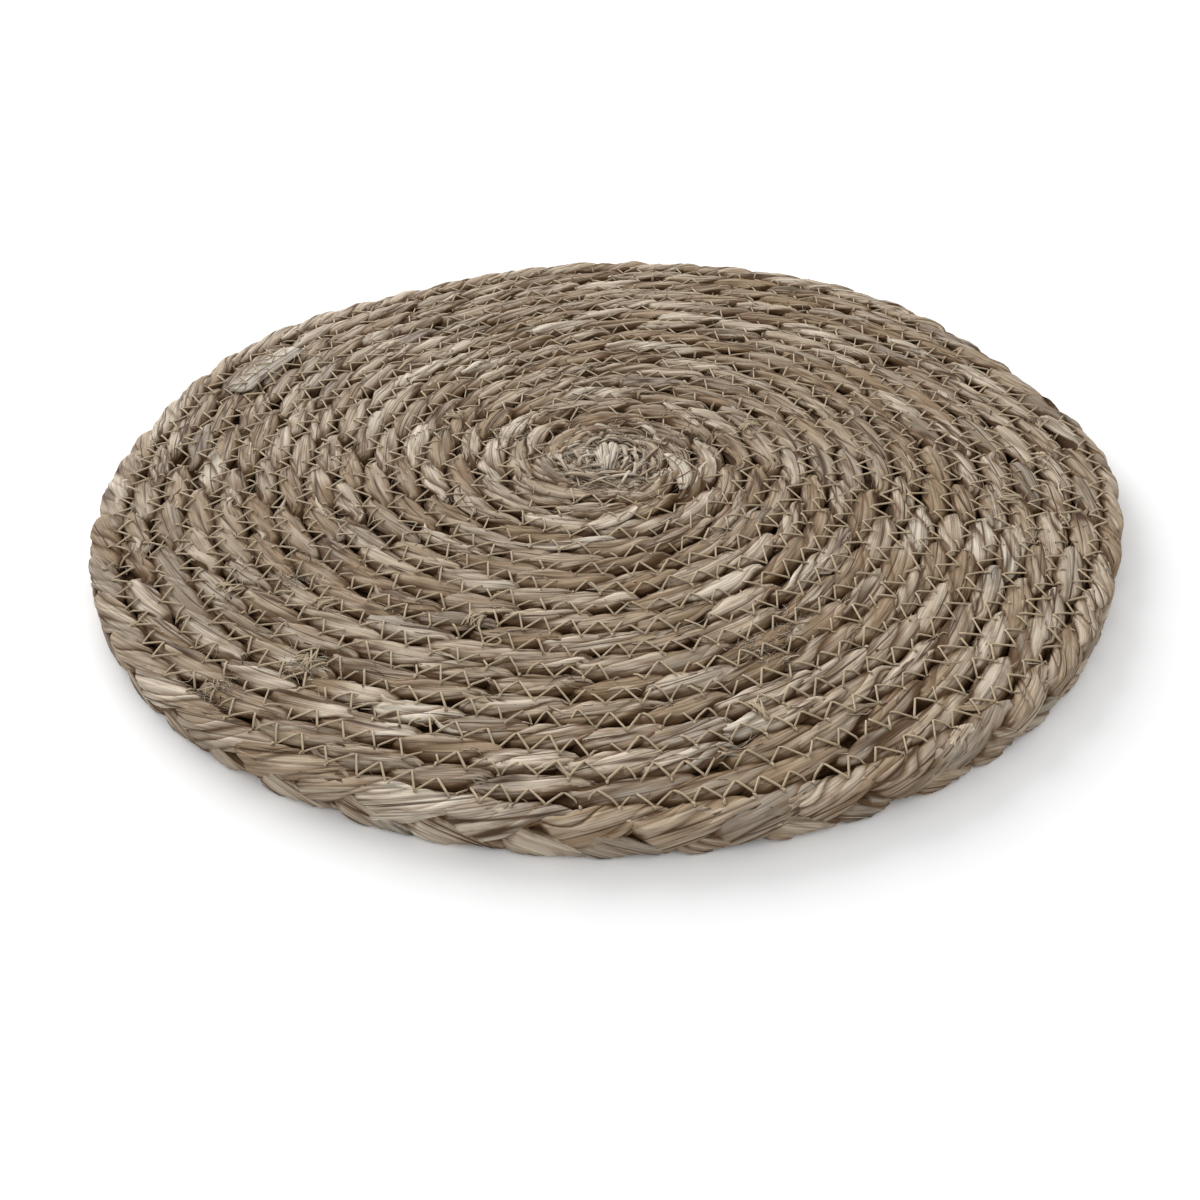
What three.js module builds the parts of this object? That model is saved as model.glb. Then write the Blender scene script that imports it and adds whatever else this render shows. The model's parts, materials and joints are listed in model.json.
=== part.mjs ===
// Round placemat: one long three-strand plait of dried leaf, stood on edge, wound in a flat spiral and sewn
// turn to turn. It is one solid. Each turn shows as a rib on both sides, the strands show as slanting lobes
// along the ribs of the top, and the rim is scalloped by them.
// Millimetres, +Z up. The origin is on the table, under the middle of the mat's box.
import * as THREE from 'three';

// Driving dimensions
const THICKNESS = 12;
const PLAIT_WIDTH = 10.7;
const WIDEST_RADIUS = 195.2;
const WHOLE_TURNS = 17;
const END_DIRECTION = THREE.MathUtils.degToRad(18);

// The last stretch of the plait narrows and is tucked against the turn inside it
const END_TAPER = THREE.MathUtils.degToRad(60);
const END_WIDTH_LEFT = 0.3;

// The first groove begins a little before the plait does, and the plait's start is tucked down beside it
const GROOVE_START = -0.5;
const HUB_END = 2 * Math.PI - 0.9;
const START_TUCK = { radius: 7.5, turn: -0.3, below: 2.5 };

// The strands' lobes on the top edge of the plait
const LOBE_LENGTH = 23.6;
const LOBE_RISE = 1.3;
const LOBE_LEAN = 8;
const RIM_SCALLOP = 1.1;

// The grooves between turns, and the flat band that each rib rests on
const TOP_GROOVE = 3.2;
const UNDER_GROOVE = 2.2;
const SHOULDER = 0.27;
const FLAT_EDGE = 0.25;
const RIM_SHOULDER_IN = 1;
const RIM_SHOULDER_DOWN = 3;

// Spacing of the points along each line of the spiral
const GROOVE_STEP = 12;
const UNDER_STEP = 20;
const LARGEST_TURN_STEP = THREE.MathUtils.degToRad(24);

// How far the hand-wound mat is out of round. Each row is a wave with so many rises in one round, its size on
// the rim, and the direction of its first rise. The waves fade to nothing at the middle of the mat.
const OUT_OF_ROUND = [
  { rises: 1, size: 3.4, degrees: 90 },
  { rises: 2, size: 2.3, degrees: 89 },
  { rises: 3, size: 1.2, degrees: 154 },
  { rises: 4, size: 0.7, degrees: -134 },
  { rises: 5, size: 1.3, degrees: -2 },
  { rises: 7, size: 0.9, degrees: -36 },
  { rises: 8, size: 0.6, degrees: 23 },
];

const ROUND = 2 * Math.PI;
const LAST_TURN = WHOLE_TURNS * ROUND + END_DIRECTION;
const FIRST_RADIUS = WIDEST_RADIUS - PLAIT_WIDTH * LAST_TURN / ROUND;

// The spiral. A place along it is given by its turn, the whole angle wound so far.

function outOfRound(radius, turn) {
  let swell = 0;
  for (const wave of OUT_OF_ROUND) {
    swell += wave.size * Math.cos(wave.rises * turn - THREE.MathUtils.degToRad(wave.degrees));
  }
  return radius + swell * radius / WIDEST_RADIUS;
}

function outerEdge(turn) {
  const left = Math.min(1, (LAST_TURN - turn) / END_TAPER);
  const full = left * left * (3 - 2 * left);
  const tuck = PLAIT_WIDTH * (1 - END_WIDTH_LEFT) * (1 - full);
  return FIRST_RADIUS + PLAIT_WIDTH * turn / ROUND - tuck;
}

function radiusAcross(turn, share) {
  const inner = outerEdge(turn - ROUND);
  const outer = outerEdge(turn);
  return outOfRound(inner + (outer - inner) * share, turn);
}

// Length of plait wound up to a turn, along its middle, and the turn that a length reaches
const MIDDLE_START = FIRST_RADIUS - PLAIT_WIDTH / 2;

function lengthAt(turn) {
  return MIDDLE_START * turn + PLAIT_WIDTH * turn * turn / (2 * ROUND);
}

function turnAt(length) {
  const root = Math.sqrt(MIDDLE_START * MIDDLE_START + 2 * PLAIT_WIDTH * length / ROUND);
  return (root - MIDDLE_START) * ROUND / PLAIT_WIDTH;
}

// Turns from first to last with about the wanted length between them, the first one shifted along
function turnsBetween(first, last, step, shift = 0) {
  const turns = [first];
  const lastLength = lengthAt(last);
  let length = lengthAt(first) + (shift || step);
  while (length < lastLength - step / 3) {
    turns.push(turnAt(length));
    length += step;
  }
  turns.push(last);
  const fine = [first];
  for (let i = 1; i < turns.length; i += 1) {
    const parts = Math.ceil((turns[i] - turns[i - 1]) / LARGEST_TURN_STEP);
    for (let k = 1; k <= parts; k += 1) {
      fine.push(turns[i - 1] + (turns[i] - turns[i - 1]) * k / parts);
    }
  }
  return fine;
}

function grooveTurns(step) {
  return [...turnsBetween(GROOVE_START, 0, step).slice(0, -1), ...turnsBetween(0, LAST_TURN - ROUND, step)];
}

// The points and faces of the solid
const positions = [];
const faces = [];

function addPoint(x, y, z) {
  positions.push(x, y, z);
  return positions.length / 3 - 1;
}

function addSpiralPoint(turn, radius, z) {
  return addPoint(radius * Math.cos(turn), radius * Math.sin(turn), z);
}

// A line of points along the spiral: each entry keeps its turn and the number of its point
function makeLine(turns, radiusAtTurn, heightAtTurn) {
  return turns.map((turn) => ({ turn, point: addSpiralPoint(turn, radiusAtTurn(turn), heightAtTurn(turn)) }));
}

// Faces between two neighbouring lines, always stepping along the line whose next point comes first
function fillBetween(lineA, lineB, shiftA = 0) {
  let a = 0;
  let b = 0;
  while (a < lineA.length - 1 || b < lineB.length - 1) {
    const nextA = a < lineA.length - 1 ? lineA[a + 1].turn + shiftA : Infinity;
    const nextB = b < lineB.length - 1 ? lineB[b + 1].turn : Infinity;
    if (nextA <= nextB) {
      faces.push(lineA[a].point, lineB[b].point, lineA[a + 1].point);
      a += 1;
    } else {
      faces.push(lineA[a].point, lineB[b].point, lineB[b + 1].point);
      b += 1;
    }
  }
}

// Splits a line at the point nearest to a turn, which both parts keep
function splitLine(line, turn) {
  let nearest = 0;
  line.forEach((entry, i) => {
    if (Math.abs(entry.turn - turn) < Math.abs(line[nearest].turn - turn)) {
      nearest = i;
    }
  });
  return [line.slice(0, nearest + 1), line.slice(nearest)];
}

// Top lines: the groove outside each turn, and the two shoulders of the rib with the strands' lobes
function lobeHeight(turn, lean) {
  const wave = Math.cos(ROUND * (lengthAt(turn) - lean) / LOBE_LENGTH);
  return THICKNESS - LOBE_RISE * (1 - wave) / 2;
}

const RIM_START = LAST_TURN - ROUND;

const topGroove = makeLine(
  grooveTurns(GROOVE_STEP),
  (turn) => radiusAcross(turn, 1),
  () => THICKNESS - TOP_GROOVE,
);
const topInner = makeLine(
  turnsBetween(0, LAST_TURN, LOBE_LENGTH / 2, LOBE_LEAN),
  (turn) => radiusAcross(turn, SHOULDER),
  (turn) => lobeHeight(turn, LOBE_LEAN),
);
const topOuter = makeLine(
  turnsBetween(0, LAST_TURN, LOBE_LENGTH / 2),
  (turn) => radiusAcross(turn, 1 - SHOULDER),
  (turn) => lobeHeight(turn, 0),
);

// Underside lines: the groove and the two edges of the flat band that rests on the table
const underGroove = makeLine(
  grooveTurns(UNDER_STEP),
  (turn) => radiusAcross(turn, 1),
  () => UNDER_GROOVE,
);
const underInner = makeLine(
  turnsBetween(0, LAST_TURN, UNDER_STEP),
  (turn) => radiusAcross(turn, FLAT_EDGE),
  () => 0,
);
const underOuter = makeLine(
  turnsBetween(0, LAST_TURN, UNDER_STEP),
  (turn) => radiusAcross(turn, 1 - FLAT_EDGE),
  () => 0,
);

// Rim lines: two shoulders and the scalloped edge between them. They begin on the end of the grooves.
const rimTurns = turnsBetween(RIM_START, LAST_TURN, LOBE_LENGTH / 2);

function scallop(turn) {
  return RIM_SCALLOP * (1 - Math.cos(ROUND * lengthAt(turn) / LOBE_LENGTH)) / 2;
}

function widthShare(turn) {
  return (outerEdge(turn) - outerEdge(turn - ROUND)) / PLAIT_WIDTH;
}

function makeRimLine(inward, height, firstPoint) {
  const line = makeLine(
    rimTurns.slice(1),
    (turn) => radiusAcross(turn, 1) - (scallop(turn) + inward) * widthShare(turn),
    () => height,
  );
  return [{ turn: RIM_START, point: firstPoint }, ...line];
}

const rimStartMiddle = addSpiralPoint(RIM_START, radiusAcross(RIM_START, 1), THICKNESS / 2);
const rimTop = makeRimLine(RIM_SHOULDER_IN, THICKNESS - RIM_SHOULDER_DOWN, topGroove.at(-1).point);
const rimMiddle = makeRimLine(0, THICKNESS / 2, rimStartMiddle);
const rimUnder = makeRimLine(RIM_SHOULDER_IN, RIM_SHOULDER_DOWN, underGroove.at(-1).point);

// The top: inner flanks, crowns, outer flanks, then the rim's wall and the underside
const [hubTop, restTop] = splitLine(topInner, HUB_END);
const [innerTurnsTop, lastTurnTop] = splitLine(topOuter, RIM_START);
const [leadTop, turnsTop] = splitLine(topGroove, 0);
fillBetween(topGroove, restTop, ROUND);
fillBetween(topInner, topOuter);
fillBetween(innerTurnsTop, turnsTop);
fillBetween(lastTurnTop, rimTop);
fillBetween(rimTop, rimMiddle);
fillBetween(rimMiddle, rimUnder);
const [hubUnder, restUnder] = splitLine(underInner, HUB_END);
const [innerTurnsUnder, lastTurnUnder] = splitLine(underOuter, RIM_START);
const [leadUnder, turnsUnder] = splitLine(underGroove, 0);
fillBetween(rimUnder, lastTurnUnder);
fillBetween(turnsUnder, innerTurnsUnder);
fillBetween(underOuter, underInner);
const shiftedRest = restUnder.map((entry) => ({ turn: entry.turn - ROUND, point: entry.point }));
fillBetween(shiftedRest, underGroove);

// The middle of the mat: a fan of faces round its centre, and another round the tucked start of the plait
function addFanFace(middle, point, next, upward) {
  if (upward) {
    faces.push(middle, point, next);
  } else {
    faces.push(middle, next, point);
  }
}

function closeMiddle(hub, lead, outerLine, height, tuckHeight, upward) {
  const centre = addPoint(0, 0, height);
  const start = addSpiralPoint(START_TUCK.turn, START_TUCK.radius, tuckHeight);
  const rest = [hub.at(-1), ...lead, outerLine[0], hub[0]].map((entry) => entry.point);
  const ring = [centre, ...rest];
  hub.slice(1).forEach((entry, i) => addFanFace(centre, hub[i].point, entry.point, upward));
  ring.forEach((point, i) => addFanFace(start, point, ring[(i + 1) % ring.length], upward));
}

closeMiddle(hubTop, leadTop, topOuter, THICKNESS - LOBE_RISE, THICKNESS - START_TUCK.below, true);
closeMiddle(hubUnder, leadUnder, underOuter, 0, 0, false);

// The cut end of the plait, a small face that looks along the spiral
const endRing = [
  topGroove.at(-1).point,
  topInner.at(-1).point,
  topOuter.at(-1).point,
  rimTop.at(-1).point,
  rimMiddle.at(-1).point,
  rimUnder.at(-1).point,
  underOuter.at(-1).point,
  underInner.at(-1).point,
  underGroove.at(-1).point,
];
endRing.slice(1).forEach((point, i) => faces.push(rimStartMiddle, endRing[i], point));

// The mat as one mesh, moved so that the middle of its box stands over the origin
function makeMat() {
  const geometry = new THREE.BufferGeometry();
  geometry.setAttribute('position', new THREE.Float32BufferAttribute(positions, 3));
  geometry.setIndex(faces);
  geometry.computeBoundingBox();
  const middle = geometry.boundingBox.getCenter(new THREE.Vector3());
  geometry.translate(-middle.x, -middle.y, 0);
  geometry.computeVertexNormals();
  const leaf = new THREE.MeshStandardMaterial({ color: 0xa8967a, roughness: 0.85, metalness: 0 });
  const mat = new THREE.Mesh(geometry, leaf);
  mat.name = 'coiled_plait_mat';
  return mat;
}

const group = new THREE.Group();
group.add(makeMat());

export default group;
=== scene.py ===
import json
import math

import bpy
import numpy as np
from bpy.props import FloatProperty, FloatVectorProperty, IntProperty, PointerProperty
from bpy.types import Operator, Panel, PropertyGroup
from mathutils import Matrix

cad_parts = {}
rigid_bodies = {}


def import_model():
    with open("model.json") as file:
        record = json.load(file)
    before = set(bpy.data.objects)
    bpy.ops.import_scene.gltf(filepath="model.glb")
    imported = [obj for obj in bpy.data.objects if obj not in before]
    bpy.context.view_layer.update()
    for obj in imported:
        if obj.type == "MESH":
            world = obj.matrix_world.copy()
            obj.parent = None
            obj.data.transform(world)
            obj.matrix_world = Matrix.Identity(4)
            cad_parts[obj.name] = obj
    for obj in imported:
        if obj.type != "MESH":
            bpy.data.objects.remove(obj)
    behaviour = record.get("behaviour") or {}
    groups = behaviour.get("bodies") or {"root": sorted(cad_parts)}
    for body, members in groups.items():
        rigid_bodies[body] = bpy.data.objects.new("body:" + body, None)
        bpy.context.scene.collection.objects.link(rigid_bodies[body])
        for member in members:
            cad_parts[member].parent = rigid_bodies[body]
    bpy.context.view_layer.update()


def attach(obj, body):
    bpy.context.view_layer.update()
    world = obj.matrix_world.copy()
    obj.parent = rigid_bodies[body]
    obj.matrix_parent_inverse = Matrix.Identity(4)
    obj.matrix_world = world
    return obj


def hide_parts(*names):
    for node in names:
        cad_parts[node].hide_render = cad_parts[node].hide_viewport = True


bl_info = {
    "name": "Coiled plait placemat",
    "version": (1, 0, 0),
    "blender": (4, 5, 0),
    "location": "3D Viewport > Sidebar > Placemat",
    "description": "Builds a round placemat of plaited dried leaf, wound on edge and sewn with a zigzag",
    "category": "Add Mesh",
}

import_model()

MM = 0.001
ROUND = 2 * math.pi
BODY = "root"
MAT_NODE = "coiled_plait_mat"
STRANDS = 3

# How far the hand-wound mat is out of round: rises in one round, size on the rim, direction of the first rise
OUT_OF_ROUND = (
    (1, 3.4 * MM, 90),
    (2, 2.3 * MM, 89),
    (3, 1.2 * MM, 154),
    (4, 0.7 * MM, -134),
    (5, 1.3 * MM, -2),
    (7, 0.9 * MM, -36),
    (8, 0.6 * MM, 23),
)


# The sizes and colours that a user would change

class MatSizes(PropertyGroup):
    thickness: FloatProperty(
        name="Thickness", description="Height of the plait, which stands on edge",
        default=12 * MM, unit="LENGTH", subtype="DISTANCE")
    plait_width: FloatProperty(
        name="Plait width", description="Distance from one turn to the next",
        default=10.7 * MM, unit="LENGTH", subtype="DISTANCE")
    widest_radius: FloatProperty(
        name="Widest radius", description="Radius that the outer edge would reach without the tapered end",
        default=195.2 * MM, unit="LENGTH", subtype="DISTANCE")
    whole_turns: IntProperty(
        name="Whole turns", description="Number of whole turns of the plait", default=17)
    end_direction: FloatProperty(
        name="End direction", description="Direction in which the plait's outer end lies",
        default=math.radians(18), unit="ROTATION", subtype="ANGLE")
    end_taper: FloatProperty(
        name="End taper", description="Stretch over which the last turn narrows",
        default=math.radians(60), unit="ROTATION", subtype="ANGLE")
    end_width_left: FloatProperty(
        name="End width", description="Share of the plait's width left at its end", default=0.3)


class StrandSizes(PropertyGroup):
    repeat: FloatProperty(
        name="Repeat", description="Length of plait in which a strand comes back to its place",
        default=70.8 * MM, unit="LENGTH", subtype="DISTANCE")
    rise: FloatProperty(
        name="Rise", description="How far a strand goes up and down from the middle of the plait",
        default=3.5 * MM, unit="LENGTH", subtype="DISTANCE")
    aside: FloatProperty(
        name="Sideways", description="How far a strand goes to either side of the plait",
        default=2.7 * MM, unit="LENGTH", subtype="DISTANCE")
    on_top: FloatProperty(
        name="Half width on top", description="Half of a strand's width where it folds over the top",
        default=5.6 * MM, unit="LENGTH", subtype="DISTANCE")
    beside: FloatProperty(
        name="Half width beside", description="Half of a strand's width where it crosses the side",
        default=5.8 * MM, unit="LENGTH", subtype="DISTANCE")
    pressed_beside: FloatProperty(
        name="Half width between turns", description="Half of a strand's width at the side within the mat",
        default=3.8 * MM, unit="LENGTH", subtype="DISTANCE")
    thin: FloatProperty(
        name="Half thickness", description="Half of a strand's thickness on top and in the middle of the side",
        default=2.8 * MM, unit="LENGTH", subtype="DISTANCE")
    thick: FloatProperty(
        name="Half thickness between", description="Half of a strand's thickness between those places",
        default=5.0 * MM, unit="LENGTH", subtype="DISTANCE")
    step: FloatProperty(
        name="Step", description="Distance between two rings of points along a strand",
        default=2.26 * MM, unit="LENGTH", subtype="DISTANCE")


class SewingSizes(PropertyGroup):
    tooth: FloatProperty(
        name="Tooth", description="Distance from one tooth of the zigzag to the next",
        default=9.2 * MM, unit="LENGTH", subtype="DISTANCE")
    reach: FloatProperty(
        name="Reach", description="How far the zigzag reaches to either side of a seam",
        default=3.9 * MM, unit="LENGTH", subtype="DISTANCE")
    thickness: FloatProperty(
        name="Thread", description="Thickness of the thread",
        default=0.7 * MM, unit="LENGTH", subtype="DISTANCE")


class Colours(PropertyGroup):
    leaf: FloatVectorProperty(
        name="Leaf", description="Main colour of the dried leaf", subtype="COLOR", size=3,
        default=(0.279, 0.199, 0.123), min=0, max=1)
    pale_leaf: FloatVectorProperty(
        name="Pale leaf", description="Colour of the palest lengths", subtype="COLOR", size=3,
        default=(0.575, 0.496, 0.393), min=0, max=1)
    grey_leaf: FloatVectorProperty(
        name="Grey leaf", description="Colour of the weathered lengths", subtype="COLOR", size=3,
        default=(0.25, 0.215, 0.175), min=0, max=1)
    # Painted shade: the colour laid over the leaf in the creases and between the strands, where shade falls
    deep_shade: FloatVectorProperty(
        name="Dark leaf", description="Colour in the creases and between the strands", subtype="COLOR", size=3,
        default=(0.056, 0.027, 0.010), min=0, max=1)
    thread: FloatVectorProperty(
        name="Thread", description="Colour of the sewing thread", subtype="COLOR", size=3,
        default=(0.47, 0.37, 0.245), min=0, max=1)
    floor: FloatVectorProperty(
        name="Floor", description="Colour of the floor", subtype="COLOR", size=3,
        default=(0.9, 0.9, 0.9), min=0, max=1)


# Small helpers

STEEP = 0.95


def wander(random, places, spacing, size):
    """Smooth random values along a line, with a new one each `spacing` and at most `size` from zero."""
    at = np.maximum(places, 0) / spacing
    values = random.uniform(-size, size, int(at.max()) + 3)
    low = at.astype(int)
    part = at - low
    part = part * part * (3 - 2 * part)
    return values[low] * (1 - part) + values[low + 1] * part


def wanders(random, places, spacing, size):
    """A column of smooth random values for each ribbon."""
    return np.stack([wander(random, places, spacing, size) for _ in range(RIBBONS)], 1)


def soft_limit(values, start, most):
    """Values pressed together beyond `start`, so that none goes past `most` to either side of zero."""
    size = np.abs(values)
    room = most - start
    pressed = start + room * np.tanh((size - start) / room)
    return np.sign(values) * np.where(size > start, pressed, size)


def ramp(values, start, reach):
    """0 up to `start`, and 1 from `start` and `reach` on."""
    return np.clip((values - start) / reach, 0, 1)


def unit_vectors(vectors):
    return vectors / np.linalg.norm(vectors, axis=-1, keepdims=True)


def polar(radius, turn, *height):
    """Points at a radius and a direction from the middle, flat or with a height."""
    return np.stack([radius * np.cos(turn), radius * np.sin(turn), *height], -1)


def mesh_from_arrays(name, points, quads, triangles, values):
    """A smooth mesh piece, with the named values kept on its points for the materials."""
    mesh = bpy.data.meshes.new(name)
    mesh.vertices.add(len(points))
    mesh.vertices.foreach_set("co", np.asarray(points, np.float32).ravel())
    corners = np.concatenate([quads.ravel(), triangles.ravel()]).astype(np.int32)
    sizes = np.concatenate([np.full(len(quads), 4), np.full(len(triangles), 3)]).astype(np.int32)
    mesh.loops.add(len(corners))
    mesh.loops.foreach_set("vertex_index", corners)
    mesh.polygons.add(len(sizes))
    mesh.polygons.foreach_set("loop_start", (np.cumsum(sizes) - sizes).astype(np.int32))
    for key, array in values.items():
        kind, field = ("FLOAT_VECTOR", "vector") if array.ndim == 2 else ("FLOAT", "value")
        attribute = mesh.attributes.new(key, kind, "POINT")
        attribute.data.foreach_set(field, np.asarray(array, np.float32).ravel())
    mesh.update(calc_edges=True)
    mesh.validate()
    mesh.shade_smooth()
    piece = bpy.data.objects.new(name, mesh)
    bpy.context.scene.collection.objects.link(piece)
    return piece


def finish_piece(piece, material):
    piece.data.materials.append(material)
    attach(piece, BODY)


def leaf_piece(context, name, arrays):
    """A finished piece of dried leaf."""
    piece = mesh_from_arrays(name, *arrays)
    finish_piece(piece, leaf_material(context.scene.placemat_colours))
    return piece


def tube_faces(rings, around):
    """Quads between a tube's rings, and a fan over each end. The ends' middle points come after the rings."""
    first = np.arange(rings - 1)[:, None] * around
    side = np.arange(around)[None, :]
    beside = (side + 1) % around
    quads = np.stack([first + side, first + beside, first + around + beside, first + around + side], -1)
    start_middle = rings * around
    last = (rings - 1) * around
    side, beside = side[0], beside[0]
    starts = np.stack([np.full(around, start_middle), beside, side], -1)
    ends = np.stack([np.full(around, start_middle + 1), last + side, last + beside], -1)
    return quads.reshape(-1, 4), np.concatenate([starts, ends])


def closed_tubes(skin, middles):
    """Points, quads and triangles of tubes, from a skin (tubes, rings, around, 3) and both ends' middles."""
    count, rings, around, _ = skin.shape
    points = np.concatenate([skin.reshape(count, -1, 3), middles], 1)
    quads, triangles = tube_faces(rings, around)
    shift = (np.arange(count) * points.shape[1])[:, None, None]
    quads, triangles = ((faces + shift).reshape(-1, faces.shape[1]) for faces in (quads, triangles))
    return points.reshape(-1, 3), quads, triangles


def lengthwise_places(paths, around):
    """Places on the leaf or thread of the points of tubes, so far only with the length along them."""
    lengths = np.cumsum(np.linalg.norm(np.diff(paths, axis=1, prepend=paths[:, :1]), axis=2), axis=1)
    places = np.zeros((len(paths), paths.shape[1] * around + 2, 3))
    places[:, :-2, 0] = np.repeat(lengths, around, axis=1)
    places[:, -1, 0] = lengths[:, -1]
    return places


def tubes(paths, radii, around):
    """Points, quads, triangles and places of closed tubes, from paths (tubes, rings, 3) and their radii."""
    along = unit_vectors(np.gradient(paths, axis=1))
    up = np.zeros_like(along)
    up[..., 2] = 1
    up[np.abs(along[..., 2]) > STEEP] = (1, 0, 0)
    side = unit_vectors(np.cross(along, up))
    other = np.cross(side, along)
    angles = np.arange(around) * ROUND / around
    cosine, sine = np.cos(angles)[:, None], np.sin(angles)[:, None]
    ring = side[:, :, None] * cosine + other[:, :, None] * sine
    faces = closed_tubes(paths[:, :, None] + ring * radii[:, :, None, None], paths[:, [0, -1]])
    places = lengthwise_places(paths, around)
    places[:, :-2, 1:] = np.tile(np.hstack([cosine, sine]), (paths.shape[1], 1))
    return *faces, places.reshape(-1, 3)


def flattened(points, paths, around, share):
    """Tubes from `tubes` made flat: their height above their path is `share` of what it was."""
    middles = np.hstack([np.repeat(paths[..., 2], around, axis=1), paths[:, [0, -1], 2]]).reshape(-1)
    points[:, 2] = middles + (points[:, 2] - middles) * share
    return points


# The spiral that the plait is wound on. A place along it is given by its turn, the whole angle wound so far.

class Spiral:
    """The way of the plait round the mat, a little out of round as it was wound by hand."""

    def __init__(self, sizes):
        self.pitch = sizes.plait_width
        self.widest = sizes.widest_radius
        self.last_turn = sizes.whole_turns * ROUND + sizes.end_direction
        self.first_radius = self.widest - self.pitch * self.last_turn / ROUND
        self.taper = sizes.end_taper
        self.width_left = sizes.end_width_left
        self.middle_start = self.first_radius - self.pitch / 2
        self.shift = np.zeros(3)
        self.shift = self.box_middle()

    def out_of_round(self, radius, turn):
        """A radius in the hand-wound mat, from that in a true one."""
        swell = 0
        for rises, size, degrees in OUT_OF_ROUND:
            swell = swell + size * np.cos(rises * turn - math.radians(degrees))
        return radius + swell * radius / self.widest

    def outer_edge(self, turn):
        """Radius of the plait's outer edge. The last turn narrows to its end."""
        left = np.clip((self.last_turn - turn) / self.taper, 0, 1)
        full = left * left * (3 - 2 * left)
        tuck = self.pitch * (1 - self.width_left) * (1 - full)
        return self.first_radius + self.pitch * turn / ROUND - tuck

    def radius_across(self, turn, share):
        """Radius at a share of the plait's width, 0 at its inner edge and 1 at its outer edge."""
        inner = self.outer_edge(turn - ROUND)
        outer = self.outer_edge(turn)
        return self.out_of_round(inner + (outer - inner) * share, turn)

    def width_share(self, turn):
        """Share of its full width that the plait has."""
        return (self.outer_edge(turn) - self.outer_edge(turn - ROUND)) / self.pitch

    def length_at(self, turn):
        """Length of plait wound up to a turn."""
        return self.middle_start * turn + self.pitch * turn * turn / (2 * ROUND)

    def turn_at(self, length):
        root = np.sqrt(self.middle_start ** 2 + 2 * self.pitch * length / ROUND)
        return (root - self.middle_start) * ROUND / self.pitch

    def length(self):
        return self.length_at(self.last_turn)

    def place(self, turn, radius, height):
        """Points of the model, with the middle of the mat's box over the origin."""
        turn = np.asarray(turn, float)
        return polar(radius, turn, height + 0 * turn) - self.shift

    def box_middle(self):
        """Middle of the mat's box, as seen from above."""
        turns = np.linspace(self.last_turn - 1.2 * ROUND, self.last_turn, 4000)
        rim = self.place(turns, self.radius_across(turns, 1), 0)
        middle = (rim.min(0) + rim.max(0)) / 2
        middle[2] = 0
        return middle


# Places that stand out: first and last direction in degrees, inner and outer radius in mm, how much paler and
# how much greyer the leaf is there

SPECIAL_PLACES = (
    (178, 187, 150, 156, 0.5, 0.0),
    (332, 340, 139, 147, 0.9, 0.0),
    (326, 332, 149, 157, 1.1, 0.3),
    (327, 335, 117, 125, 0.8, 0.0),
    (186, 195, 149, 158, -0.7, -0.3),
    (190, 199, 127, 135, -0.7, -0.3),
    (190, 203, 107, 116, -0.7, -0.3),
    (212, 226, 109, 118, -0.8, -0.4),
    (208, 212, 108, 112, 1.2, 0.2),
    (97, 108, 115, 123, 1.0, 0.1),
    (90, 110, 52, 60, 1.0, 0.1),
    (68, 78, 90, 98, 1.1, 0.2),
    (56, 66, 126, 134, 0.9, 0.1),
    (121, 132, 92, 100, 1.0, 0.1),
    (118, 130, 137, 145, 0.5, 0.7),
    (229, 232, 154, 159, 1.3, 0.2),
    (238, 248, 152, 162, 0.9, -0.4),
    (249, 255, 180, 186, 1.2, 0.3),
    (256, 265, 175, 182, 0.7, 0.7),
    (276, 285, 151, 161, 1.3, 0.2),
    (306, 312, 96, 104, 1.0, 0.2),
    (225, 229, 177, 183, -0.9, -0.5),
    (202, 212, 124, 135, -0.8, -0.4),
    (288, 295, 118, 131, -0.6, -0.4),
    (295, 303, 112, 122, -0.5, -0.4),
)
SIDE_FADE = 2.5 * MM
END_FADE = 6 * MM


def special_values(points):
    """How much paler and how much greyer the leaf is at each point."""
    radius = np.hypot(points[..., 0], points[..., 1])
    direction = np.degrees(np.arctan2(points[..., 1], points[..., 0])) % 360
    paler = np.zeros(radius.shape)
    greyer = np.zeros(radius.shape)
    for first, last, inner, outer, pale, grey in SPECIAL_PLACES:
        beyond_side = np.abs(radius - (inner + outer) / 2 * MM) - (outer - inner) / 2 * MM
        beyond_end = radius * np.radians(np.abs(direction - (first + last) / 2) - (last - first) / 2)
        share = np.clip(1 - beyond_side / SIDE_FADE, 0, 1) * np.clip(1 - beyond_end / END_FADE, 0, 1)
        paler += pale * share
        greyer += grey * share
    return paler, greyer


# The plait's three strands. A strand's phase grows by a whole round while it comes back to its place in the
# plait: it is on top at a quarter of the round, under the mat at three quarters, and beside in between.

START_LENGTH = 4 * MM
END_TAPER = 45 * MM
THINNEST_END = 0.2
MESSY_LENGTH = 600 * MM
MESSIER = 1.2
LOW_START = 55 * MM
START_LOWER = 0.3
RIM_FADE = 0.4
FLAT_TOP = 1.0
LONG_LIE = 0.25
RIM_LONG_LIE = 0.13
TURNED = 0.45
ROUNDING = 0.86
# Uneven handwork: how far apart the changes come, and how large they are
CROWDING = (110 * MM, 9 * MM)
OWN_CROWDING = (60 * MM, 3.5 * MM)
LOOSER = (60 * MM, 0.05)
UP_AND_DOWN = (33 * MM, 0.55 * MM)
TO_THE_SIDE = (37 * MM, 0.8 * MM)
LEANING = (41 * MM, 0.3)
WIDER = (47 * MM, 0.25)
THICKER = (29 * MM, 0.12)
# The press of the sewing: where it starts and the most that is left, both under or past the plait's own size
PRESS_UP = (2.4 * MM, 0.3 * MM)
PRESS_SIDE = (1.2 * MM, 1.2 * MM)
PRESS_ON_RIM = (1.0 * MM, 1.3 * MM)
SEAM_DIP = 0.15
WIDEST_DIP = 1.15
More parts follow.
